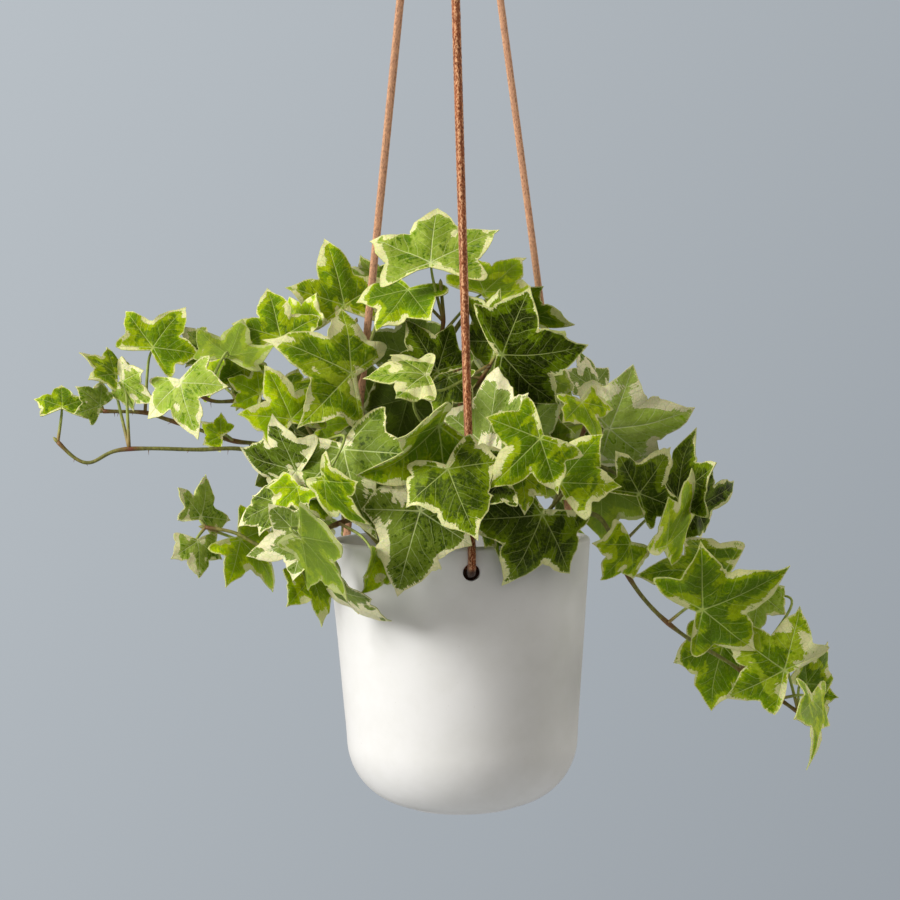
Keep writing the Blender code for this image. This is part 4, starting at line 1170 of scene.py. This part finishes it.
def lead_stalks(leaves, stems, blades, fixed):
    """Gives each leaf the first stalk that crosses nothing of another sprig."""
    lines = [(name, tree(thick_line(r, STEM_RADIUS + CLEARANCE))) for name, routes in stems.items() for r in routes]
    for leaf in leaves:
        stem_points = [p for r in stems[leaf.sprig] for p in r[3:]]
        best = None
        for route in stalk_routes(leaf, stem_points):
            mine = tree(thick_line(route, STALK_RADIUS + CLEARANCE))
            hits = sum(4 * len(mine.overlap(t)) for t in fixed)
            hits += sum(4 * len(mine.overlap(t)) for name, t in lines if name != leaf.sprig)
            for other, shape in blades:
                if other is not leaf:
                    hits += (1 if other.sprig == leaf.sprig else 4) * len(mine.overlap(shape))
            if best is None or hits < best[0]:
                best = (hits, route)
            if hits == 0:
                break
        leaf.stalk = best[1]
        lines.append((leaf.sprig, tree(thick_line(leaf.stalk, STALK_RADIUS + CLEARANCE))))


FINE_STEPS = 10
dice = random.Random(FAR_SEED)
stems, fine_stems, leaves = {}, {}, []
for name, sprig in SPRIGS.items():
    stems[name] = [stem_route(points, 2) for points in sprig["stems"]]
    fine_stems[name] = [stem_route(points, FINE_STEPS) for points in sprig["stems"]]
    for across, up, away, size, heading, tilt, turn, form, bend, colouring in sprig["leaves"]:
        leaves.append(Leaf(name, (across, up, away), size, 0, heading, tilt, turn, form, bend, colouring))
for name in FAR_SPRIGS:
    routes, far = far_sprig(name, dice, FINE_STEPS)
    stems[name], fine_stems[name] = [routes[0]], [routes[1]]
    leaves += far
fixed = fixed_shapes()
lines = [tree(thick_line(r, STEM_RADIUS + CLEARANCE)) for routes in stems.values() for r in routes]
blades = settle(leaves, fixed + lines)
lead_stalks(leaves, stems, blades, fixed)

# ---- Leaves ----
# Thin waxy blades with five lobes, pale ribs that fan out from the stalk, and quilting between them. The green
# stops short of the edge in ragged strokes along the side veins, and leaves a cream or lime margin.

# Colourings: how light the green is, breadth of the pale margin, how much of the green is washed with grey, how
# white the margin is, and how warm the green is.
COLOURINGS = {
    "dark": (0.10, 0.026, 0.28, 0.65, 0.4),
    "grey": (0.16, 0.058, 0.62, 0.85, 0.3),
    "mid": (0.54, 0.033, 0.16, 0.60, 0.5),
    "edged": (0.55, 0.054, 0.28, 0.70, 0.5),
    "lime": (0.80, 0.042, 0.12, 0.60, 0.6),
    "pale": (0.64, 0.056, 0.68, 0.80, 0.3),
    "soft": (0.56, 0.058, 0.62, 0.60, 0.3),
    "frost": (0.70, 0.046, 0.78, 0.95, 0.30),
    "cream": (0.32, 0.085, 0.80, 0.95, 0.3),
}

SHEET = 0.5 * MM
FULLER = 1.09
SLIM_FORMS = ("star", "wide")
SLIMMER = 0.90
# Places along one half of the outline, counted from the tip.
TOP_NOTCH, SIDE_TIP, LOW_NOTCH, BASAL_TIP = 11, 20, 28, 33
RINGS = (0.10, 0.20, 0.31, 0.42, 0.53, 0.63, 0.73, 0.82, 0.90, 0.96, 1.0)


def bowed(a, through, b, count):
    """Points on a curve from a to b that passes through a point half way; b is left out."""
    a, through, b = (np.array(p) for p in (a, through, b))
    pull = 2 * through - (a + b) / 2
    t = np.arange(count)[:, None] / count
    return (1 - t) ** 2 * a + 2 * t * (1 - t) * pull + t**2 * b


def lobed_outline(form, dice):
    """The blade's outline from its tip, clockwise, and for each of its points the share of the way from the nearest
    rib (0) to the notch between two ribs (1), and that rib's angle."""
    side_length, spread, notch, breadth = FORMS[form]
    sides = []
    pinched = SLIMMER if form in SLIM_FORMS else 1.0
    for hand in (1, -1):
        long = side_length * dice.uniform(0.98, 1.09) * (0.93 if form == "wide" else 1.0)
        wide = spread + dice.uniform(-4, 4)
        inner = at(wide * 0.48, pinched * notch * dice.uniform(1.04, 1.18))
        full = pinched * breadth * dice.uniform(1.08, 1.30)
        lobe = at(wide, long)
        outer = at(wide + 29, long * 0.64 * pinched)
        basal = at(wide + 54, long * 0.78)
        heel = (0.0, -0.07)
        line = np.concatenate([
            bowed((0.0, 1.0), (full, 0.63), inner, 11),
            bowed(inner, at(wide, long * 0.68, -full * 0.86), lobe, 9),
            bowed(lobe, at(wide, long * 0.68, full * 0.86), outer, 8),
            bowed(outer, np.array(outer) * 0.5 + np.array(basal) * 0.57, basal, 5),
            bowed(basal, np.array(basal) * 0.62 + np.array(heel) * 0.5 + (0.0, -0.03), heel, 6),
        ])
        # The tips are drawn out to a point, and the notches are rounded.
        for step, narrow in ((1, 0.72), (2, 0.90)):
            line[step, 0] *= narrow
        for k, narrow in ((19, 0.72), (21, 0.72), (18, 0.90), (22, 0.90)):
            rib = np.array(lobe) / np.hypot(*lobe)
            foot = rib * (line[k] @ rib)
            line[k] = foot + (line[k] - foot) * narrow
        for _ in range(2):
            for k in (10, 11, 12, 27, 28, 29, 32, 33, 34):
                line[k] = 0.25 * line[k - 1] + 0.5 * line[k] + 0.25 * line[k + 1]
        ribs = [0.0, wide, wide + 54.0]
        notches = [wide * 0.48, wide + 29.0, 180.0]
        angle = np.degrees(np.arctan2(line[:, 0], line[:, 1]))
        shares, rib_angles = [], []
        for k, here in enumerate(angle):
            which = 0 if k < TOP_NOTCH else (1 if k < LOW_NOTCH else 2)
            limit = notches[which] if here >= ribs[which] else notches[which - 1]
            shares.append(min(1.0, abs(here - ribs[which]) / max(1e-6, abs(limit - ribs[which]))))
            rib_angles.append(hand * ribs[which])
        # Slow swells and small nicks along the edge; the tips stay where they are.
        start = dice.uniform(0, 90)
        for k in range(1, len(line)):
            if k not in (SIDE_TIP, BASAL_TIP):
                swell = noise.noise(Vector((k * 0.30, hand * 7.0, start)))
                nick = noise.noise(Vector((k * 1.1, hand * 3.0, start)))
                line[k] *= 1.0 + 0.08 * swell + 0.036 * nick
        sides.append((line * (hand, 1.0), shares, rib_angles))
    (right, right_shares, right_ribs), (left, left_shares, left_ribs) = sides
    line = np.concatenate([right, [(0.0, -0.07)], left[:0:-1]])
    shares = [*right_shares, 1.0, *left_shares[:0:-1]]
    rib_angles = [*right_ribs, 180.0, *left_ribs[:0:-1]]
    return line, np.array(shares), np.array(rib_angles)


def fine_blade(leaf, dice, calm):
    """Points, faces and stored numbers of one finished blade. A calm one (1) waves and fills out least."""
    outline, shares, rib_angles = lobed_outline(leaf.form, dice)
    columns, rings = len(outline), len(RINGS)
    flat = np.concatenate([[[0.0, 0.0]], *[outline * r for r in RINGS]])
    column_share = np.concatenate([[0.0], *[shares] * rings])
    column_rib = np.concatenate([[0.0], *[rib_angles] * rings])
    x, y = flat[:, 0], flat[:, 1]
    reach = np.hypot(x, y)
    bearing = np.arctan2(x, y)
    from_rib = reach * np.abs(np.sin(bearing - np.radians(column_rib)))
    a, b = outline, np.roll(outline, -1, axis=0)
    run = b - a
    t = np.clip(((flat[:, None] - a) * run).sum(-1) / (run**2).sum(-1), 0, 1)
    edge = np.linalg.norm(flat[:, None] - (a + t[..., None] * run), axis=-1).min(axis=1)
    outward = np.concatenate([[0.0], *[np.full(columns, r) for r in RINGS]])

    drop, rise = BENDS[leaf.bend]
    height = rise * np.sqrt(x**2 + 0.0004) - drop * reach**2
    height += MIDRIB_LIFT * np.sin(np.pi * np.clip(y, 0, 1)) * np.exp(-((x / 0.14) ** 2))
    height += 0.016 * (1 - np.exp(-((from_rib / 0.05) ** 2))) * np.clip(reach / 0.2, 0, 1) - 0.008
    wave = dice.uniform(0.020, 0.048) * (1.0 - 0.5 * calm)
    phase, second = dice.uniform(0, 6.28), dice.uniform(0, 6.28)
    ripple = np.sin(5 * bearing + phase) + 0.6 * np.sin(9 * bearing + second)
    height += wave * outward**3 * ripple * np.clip(reach / 0.35, 0, 1)
    start = dice.uniform(0, 90)
    swell = np.array([noise.noise(Vector((2.6 * u, 2.6 * v, start))) for u, v in flat])
    height += 0.085 * (1.0 - 0.6 * calm) * reach * swell
    curl = dice.uniform(-0.16, 0.06)
    height += curl * np.clip(reach - 0.55, 0, 1) ** 2 * 2.0

    sheet = SHEET / 2
    size = leaf.size * (FULLER - 0.08 * calm)
    lift = size * height
    upper = np.stack([size * x, size * y, lift + sheet], axis=1)
    lower = np.stack([size * x, size * y, lift - sheet], axis=1)
    turn = np.array(leaf.axes)
    points = np.concatenate([upper, lower]) @ turn.T + np.array(leaf.place)

    faces = []
    for k in range(columns):
        n = (k + 1) % columns
        faces.append((0, 1 + n, 1 + k))
        for j in range(rings - 1):
            p, q = 1 + j * columns, 1 + (j + 1) * columns
            faces.append((p + k, p + n, q + n, q + k))
    count = len(flat)
    under = [tuple(i + count for i in reversed(face)) for face in faces]
    rim = 1 + (rings - 1) * columns
    band = []
    for k in range(columns):
        n = (k + 1) % columns
        band.append((rim + k, rim + n, rim + n + count, rim + k + count))
    both = [np.concatenate([v, v]) for v in (reach, column_share, from_rib, edge, x)]
    side = np.concatenate([np.zeros(count), np.ones(count)])
    return points, faces + under + band, both, side


leaf_wax = Finish("leaf_wax")
reach, between, from_rib, underside = leaf_wax.stored("veins")
edge, lightness, margin, greyness = leaf_wax.stored("growth")
seed, whiteness, warmth, across = leaf_wax.stored("habit")
spot = leaf_wax.place()

# Side veins leave the ribs at a slant and run out to the edge, and strokes of colour follow them. The finest veins
# part the blade into small cells, and the colour changes from cell to cell.
drift = leaf_wax.cloud(spot, 95.0, 2.0, 0.5)
grain = leaf_wax.cloud(spot, 1100.0, 3.0, 0.65)
fleck = leaf_wax.cloud(spot, 380.0, 3.0, 0.6)
along = abs(reach * reach - from_rib * from_rib) ** 0.5
slant = along - from_rib * 0.9


def streaked(lengthwise, sideways, apart, detail, roughness):
    """Noise drawn out along the veins, and other for each leaf."""
    place = leaf_wax.node("ShaderNodeCombineXYZ", {}, {0: lengthwise, 1: sideways, 2: seed * apart}, 0)
    return leaf_wax.cloud(place, 1.0, detail, roughness)


stroke = streaked(slant * 15.0, across * 4.0, 40.0, 3.0, 0.6)
fringe = streaked(slant * 42.0, across * 8.0, 60.0, 3.0, 0.65)
sweep = streaked(reach * 2.6, across * 3.4, 90.0, 1.0, 0.5)
cell = leaf_wax.cells(spot, 850.0)
from_vein = leaf_wax.node(
    "ShaderNodeTexVoronoi", {"feature": "DISTANCE_TO_EDGE"}, {"Vector": spot, "Scale": 480.0}, "Distance"
)
net = from_vein.step(0.07, 0.01)

# From the edge inwards: a pale margin, broad in places and almost none in others, with a thin pale line at the very
# edge, partly the margin's own paler rim and partly a painted highlight where the curled edge catches the light; a
# zone of lighter green; and a darker heart. Their borders are ragged.
ragged = (cell - 0.5) * 0.035 + (fleck - 0.5) * 0.05 + (fringe - 0.5) * 0.17
broad = sweep.step(0.44, 0.64)
reach_in = margin * (0.15 + broad * 2.4)
pale = (reach_in + ragged * (0.30 + margin * 9.0) - edge).step(-0.002, 0.003)
pale_rim_and_painted_highlight = edge.step(0.018, 0.006)
broader = (drift * 0.5 + sweep * 0.5).step(0.36, 0.64) * (greyness * 0.08 + 0.08)
zone_in = reach_in * 1.6 + 0.015 + broader + ragged * 1.3
softness = 0.050 - greyness * 0.035
light_zone = (zone_in - edge).step(0.0 - softness, softness)
heart_in = 0.12 + (drift - 0.5) * 0.3 - ragged * 1.5
dark_heart = (edge - heart_in).step(-0.012, 0.016)

deep = leaf_wax.mix(warmth, tone(32, 48, 0), tone(50, 62, 0))
fresh = leaf_wax.mix(warmth, tone(84, 128, 2), tone(116, 148, 4))
bright = leaf_wax.mix(warmth, tone(146, 192, 22), tone(178, 208, 30))
green = leaf_wax.mix(lightness.step(0.0, 0.55), deep, fresh)
green = leaf_wax.mix(lightness.step(0.5, 1.0), green, bright)
light_green = leaf_wax.mix(lightness, tone(108, 136, 16), tone(216, 232, 72))
grey_green = leaf_wax.mix(lightness, tone(84, 104, 48), tone(196, 214, 132))
light_green = leaf_wax.mix(greyness, light_green, grey_green)
dark_green = leaf_wax.node("ShaderNodeHueSaturation", {}, {"Value": 0.56, "Saturation": 1.05, "Color": green}, 0)
green = leaf_wax.mix(dark_heart * (0.20 + stroke * 0.4 + fringe * 0.4), green, dark_green)
patches = (stroke * 0.5 + drift * 0.35 + cell * 0.15 + greyness * 0.2).step(0.54, 0.60)
green = leaf_wax.mix(patches * (greyness * 0.8 + 0.06), green, light_green)
green = leaf_wax.mix(light_zone * (0.60 + cell * 0.3), green, light_green)
mottle = 0.70 + cell * 0.22 + fleck * 0.22 + lightness * 0.14
green = leaf_wax.node("ShaderNodeHueSaturation", {}, {"Value": mottle, "Saturation": 1.1, "Color": green}, 0)
cream = leaf_wax.mix(whiteness, tone(216, 224, 96), tone(246, 240, 200))
cream = leaf_wax.mix((fleck * 0.6 + drift * 0.4).step(0.55, 0.7) * 0.3, cream, light_green)
cream = leaf_wax.mix(net * 0.4, cream, tone(190, 206, 122))
surface = leaf_wax.mix(pale, green, cream)
# The thin line at the very edge: the margin's paler rim, with a painted highlight where the edge curls to the light.
rim_and_highlight_tone = leaf_wax.mix(whiteness, tone(200, 212, 92), tone(234, 230, 172))
surface = leaf_wax.mix(pale_rim_and_painted_highlight * (0.35 + fleck * 0.7), surface, rim_and_highlight_tone)

# Ribs and side veins, as paler lines.
rib_width = 0.0135 - reach * 0.0095
rib = from_rib.step(rib_width, rib_width * 0.3) * reach.step(1.0, 0.7)
heart = reach.step(0.07, 0.015)
vein_phase = (slant * 6.5 + drift * 0.9 + seed * 3.0).part_of_one()
side_line = abs(vein_phase - 0.5).step(0.055, 0.012)
side_vein = side_line * from_rib.step(0.004, 0.014) * edge.step(0.03, 0.09) * between.step(1.0, 0.7)
vein_pale = leaf_wax.mix(greyness, tone(204, 220, 112), tone(232, 238, 184))
vein_colour = leaf_wax.mix((lightness * 0.4 + greyness * 0.3 + 0.4).held(), surface, vein_pale)
surface = leaf_wax.mix(net * 0.12, surface, vein_colour)
surface = leaf_wax.mix((rib * 0.85 + heart * 0.45).held(), surface, vein_colour)
surface = leaf_wax.mix(side_vein * 0.42, surface, vein_colour)

# The underside is duller, and its ribs stand out. Its darker greens are painted shade, for the far leaves that show
# their undersides from deep inside the foliage.
underside_with_painted_shade = leaf_wax.mix(0.6, surface, leaf_wax.mix(lightness, tone(72, 90, 26), tone(146, 168, 70)))
surface = leaf_wax.mix(underside.step(0.4, 0.6), surface, underside_with_painted_shade)
relief = grain * 0.20 + fleck * 0.3 + drift * 0.4 - rib * 0.55 - net * 0.12 - side_line * between.step(1.0, 0.7) * 0.3
LEAF = leaf_wax.wear(
    Base_Color=surface,
    Roughness=0.44 + grain * 0.14 + underside * 0.2,
    Normal=leaf_wax.bump(relief, 1.0 * MM, 0.6),
    Subsurface_Weight=0.22,
    Subsurface_Radius=(0.6 * MM, 1.0 * MM, 0.12 * MM),
    Subsurface_Scale=1.0,
    Coat_Weight=0.03,
    Coat_Roughness=0.3,
    Specular_IOR_Level=0.13,
    Specular_Tint=(0.95, 1.0, 0.36),
)


def store(mesh, name, columns):
    """Keeps up to four numbers at each point."""
    kept = mesh.attributes.new(name, "FLOAT_COLOR", "POINT")
    kept.data.foreach_set("color", np.stack(columns, axis=1).astype(np.float32).ravel())


# Steps away from the viewer, in mm, and calmness, tried in turn for a blade that would cross another. The first is
# tried twice, as each try grows another outline.
EASINGS = [
    (0, 0), (0, 0), (0, 0.4), (-1.5, 0.2), (1.5, 0.2), (-3, 0.2), (3, 0.2), (-4.5, 0.4), (4.5, 0.4), (-6, 0.4),
    (6, 0.4), (0, 1), (-3, 1), (3, 1), (-6, 1), (6, 1), (-6, 0.7), (6, 0.7), (-4.5, 1), (4.5, 1),
]


def least_crossing(leaf, label, others):
    """Of several ways for a blade to grow, the first that passes through nothing made before it, or the one that
    crosses least; and the dice that grew it."""
    home = leaf.place.copy()
    near = [shape for other, shape in others if (other.place - home).length < 1.4 * (other.size + leaf.size)]
    best = None
    for attempt, (away, calm) in enumerate(EASINGS):
        dice = random.Random(f"{label} {attempt}" if attempt else label)
        leaf.place = home + view_turn(leaf.bearing) @ Vector((0.0, away * MM, 0.0))
        blade = fine_blade(leaf, dice, calm)
        mine = tree(([Vector(p) for p in blade[0]], blade[1]))
        crossed = sum(len(mine.overlap(shape)) for shape in near + fixed)
        if best is None or crossed < best[0]:
            best = crossed, blade, dice, leaf.place.copy(), mine
        if not crossed:
            break
    leaf.place = best[3]
    others.append((leaf, best[4]))
    return best[1], best[2]


grown = []
for name in stems:
    points, faces, kept = [], [], []
    total = 0
    for k, leaf in enumerate(one for one in leaves if one.sprig == name):
        lightness, margin, greyness, whiteness, warmth = COLOURINGS[leaf.colouring]
        (more_points, more_faces, both, side), dice = least_crossing(leaf, f"{name} {k}", grown)
        reach, column_share, from_rib, edge, across = both
        count = len(more_points)
        lightness = min(1.0, max(0.0, lightness + dice.uniform(-0.10, 0.10)))
        margin *= dice.uniform(0.75, 1.4)
        fill = [np.full(count, v) for v in (lightness, margin, greyness, dice.random(), whiteness, warmth)]
        kept.append(np.stack([reach, column_share, from_rib, side, edge, *fill, across]))
        points.append(more_points)
        faces += [tuple(i + total for i in face) for face in more_faces]
        total += count
    mesh = mesh_of(f"{name}_leaves", np.concatenate(points), faces)
    numbers = np.concatenate(kept, axis=1)
    store(mesh, "veins", numbers[0:4])
    store(mesh, "growth", numbers[4:8])
    store(mesh, "habit", numbers[8:12])
    sprig_leaves = piece(f"{name}_leaves", mesh, LEAF)
    mesh.set_sharp_from_angle(angle=math.radians(60))
    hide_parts(name)

# ---- Stems and stalks ----
# Slim woody-green stems, a little swollen and reddish where a leaf stalk leaves them, with short dark rootlets on
# their lower side and a folded bud at each growing end. The stalks are smooth and paler.


def round_stem(line, radii, sides):
    """Points and faces of a closed round tube."""
    points = []
    square = (line[1] - line[0]).orthogonal().normalized()
    for radius, (middle, across, other) in zip(radii, squared_off(line, square)):
        for k in range(sides):
            a = 2 * math.pi * k / sides
            points.append(middle + (across * math.cos(a) + other * math.sin(a)) * radius)
    return [*points, line[0], line[-1]], tube_faces(len(line), sides)


bark = Finish("stem_bark")
spot = bark.place()
ruddy, stalkness, _, _ = bark.stored("bark")
streak = bark.cloud(bark.stretched(spot, (1.0, 1.0, 0.4)), 700.0, 3.0, 0.6)
ring = bark.cloud(spot, 240.0, 2.0)
woody = bark.mix(streak.step(0.35, 0.7), tone(106, 106, 42), tone(140, 140, 64))
woody = bark.mix((ruddy * 0.8 + ring.step(0.55, 0.75) * 0.3).held(), woody, tone(122, 62, 38))
stalk_green = bark.mix(streak.step(0.3, 0.7), tone(134, 152, 60), tone(170, 184, 92))
stalk_green = bark.mix((ruddy * 0.7).held(), stalk_green, tone(150, 96, 70))
BARK = bark.wear(
    Base_Color=bark.mix(stalkness, woody, stalk_green),
    Roughness=0.5 + streak * 0.15,
    Normal=bark.bump(streak, 0.3 * MM, 0.5),
)

for name, routes in fine_stems.items():
    points, faces, ruddy_at, stalk_at = [], [], [], []
    mine = [leaf for leaf in leaves if leaf.sprig == name]
    joints = [leaf.stalk[0] for leaf in mine]
    dice = random.Random(f"{name} stems")

    def add(shape, redness, stalky):
        more_points, more_faces = shape
        first = len(points)
        points.extend(more_points)
        faces.extend(tuple(i + first for i in face) for face in more_faces)
        ruddy_at.extend(redness(p) for p in more_points)
        stalk_at.extend([stalky] * len(more_points))

    def near_joint(p):
        gap = min((p - j).length for j in joints)
        return math.exp(-((gap / (5 * MM)) ** 2))

    for route in routes:
        line = evened(route, 1.6 * MM)
        radii = []
        for i, p in enumerate(line):
            thin = STEM_RADIUS * (1.0 - 0.35 * i / len(line))
            radii.append(thin * (1.0 + 0.28 * near_joint(p) + 0.06 * noise.noise(p * 300)))
        add(round_stem(line, radii, 10), near_joint, 0.0)
        # The growing end: a small pointed bud, folded shut.
        out = (line[-1] - line[-4]).normalized()
        bud = [line[-1] + out * s * MM for s in (-0.5, 0.6, 1.4, 2.2, 2.9, 3.4)]
        add(round_stem(bud, [r * MM for r in (0.7, 0.95, 1.0, 0.75, 0.4, 0.1)], 8), lambda p: 0.4, 0.7)
        # Rootlets.
        above = [p for p in line if p.z > SOIL_Z + 14 * MM]
        for _ in range(max(2, len(above) // 9)):
            start = dice.choice(above)
            way = Vector((dice.uniform(-1, 1), dice.uniform(-1, 0.4), dice.uniform(-1.4, -0.2))).normalized()
            long = dice.uniform(1.2, 3.4) * MM
            bend = Vector((dice.uniform(-1, 1), dice.uniform(-1, 1), -0.4)) * long * 0.3
            hair = [start, start + way * long * 0.5, start + way * long + bend]
            add(round_stem(hair, [0.30 * MM, 0.2 * MM, 0.06 * MM], 4), lambda p: 1.0, 0.0)
    for leaf in mine:
        start, neck, _ = leaf.stalk
        end = leaf.place - leaf.axes.col[2] * 0.45 * MM
        line = smooth_route([start, neck, end], 9)
        thick = [STALK_RADIUS * (1.15 - 0.45 * i / (len(line) - 1)) for i in range(len(line))]
        ruddy_reach = 0.35 * (leaf.place - start).length
        add(round_stem(line, thick, 8), lambda p: math.exp(-((p - start).length / ruddy_reach) ** 2), 1.0)
    mesh = mesh_of(f"{name}_stems", points, faces)
    store(mesh, "bark", [np.array(ruddy_at), np.array(stalk_at), np.zeros(len(points)), np.zeros(len(points))])
    sprig_stems = piece(f"{name}_stems", mesh, BARK)
    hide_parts(name)

# ---- Light and surroundings ----
# A pale blue-grey room, a plain pale floor well below the pot, a large soft lamp up to the left and a weak one on
# the right.


def lamp(name, place, aim, size, power, colour):
    light = bpy.data.lights.new(name, "AREA")
    light.shape = "DISK"
    light.size = size
    light.energy = power
    light.color = colour
    made = bpy.data.objects.new(name, light)
    bpy.context.scene.collection.objects.link(made)
    towards_aim = (Vector(aim) - Vector(place)).to_track_quat("-Z", "Y")
    made.matrix_world = Matrix.Translation(place) @ towards_aim.to_matrix().to_4x4()
    made.visible_camera = False


pot_middle = (0.0, 0.0, RIM_Z - 0.02)
lamp("key_lamp", (-1.67, -0.86, RIM_Z + 0.80), pot_middle, 0.95, 41.0, (1.0, 0.997, 0.985))
lamp("fill_lamp", (1.75, 0.62, RIM_Z + 0.2), pot_middle, 1.2, 13.0, (1.0, 0.97, 0.94))

# The room gives most of its light from above and from the key lamp's side; the wall behind is blue-grey, with
# painted shade that darkens it towards the lower right.
room = bpy.data.worlds.new("room")
bpy.context.scene.world = room
air = Finish("room", room)
way = air.node("ShaderNodeTexCoord", {}, {}, "Generated")
# How far a direction points up and to the lamp's side.
towards = air.node("ShaderNodeVectorMath", {"operation": "DOT_PRODUCT"}, {0: way, 1: (-0.28, -0.40, 0.87)}, 1)
across, _, up = air.parts(way)
# Painted shade on the wall seen behind: lighter to the upper left, darker to the lower right.
painted_wall_falloff = (0.5 + across * 1.1 - up * 0.75).held()
wall = air.mix(painted_wall_falloff, tone(190, 197, 203), tone(148, 155, 162))
seen = air.node("ShaderNodeLightPath", {}, {}, "Is Camera Ray")
air.wear(
    Color=air.mix(seen, tone(252, 248, 241), wall),
    Strength=seen + (1.0 - seen) * (0.05 + towards.step(-0.6, 1.0) * 0.56),
)
bpy.context.scene.view_settings.view_transform = "Standard"

FLOOR_DROP = 0.50
floor_z = RIM_Z - POT_HEIGHT - FLOOR_DROP
disc, ring_faces = [Vector((0, 0, floor_z))], []
for radius in (0.4, 0.8):
    disc += [radial(360 * k / 96, radius, floor_z) for k in range(96)]
for k in range(96):
    n = (k + 1) % 96
    ring_faces += [(0, 1 + k, 1 + n), (1 + k, 97 + k, 97 + n, 1 + n)]
floor = bpy.data.objects.new("floor", mesh_of("floor", disc, ring_faces))
bpy.context.scene.collection.objects.link(floor)
matt = Finish("floor_paint")
grit = matt.cloud(matt.place(), 30.0, 3.0)
floor.data.materials.append(
    matt.wear(Base_Color=matt.mix(grit, tone(184, 188, 193), tone(192, 196, 200)), Roughness=0.8 + grit * 0.1)
)
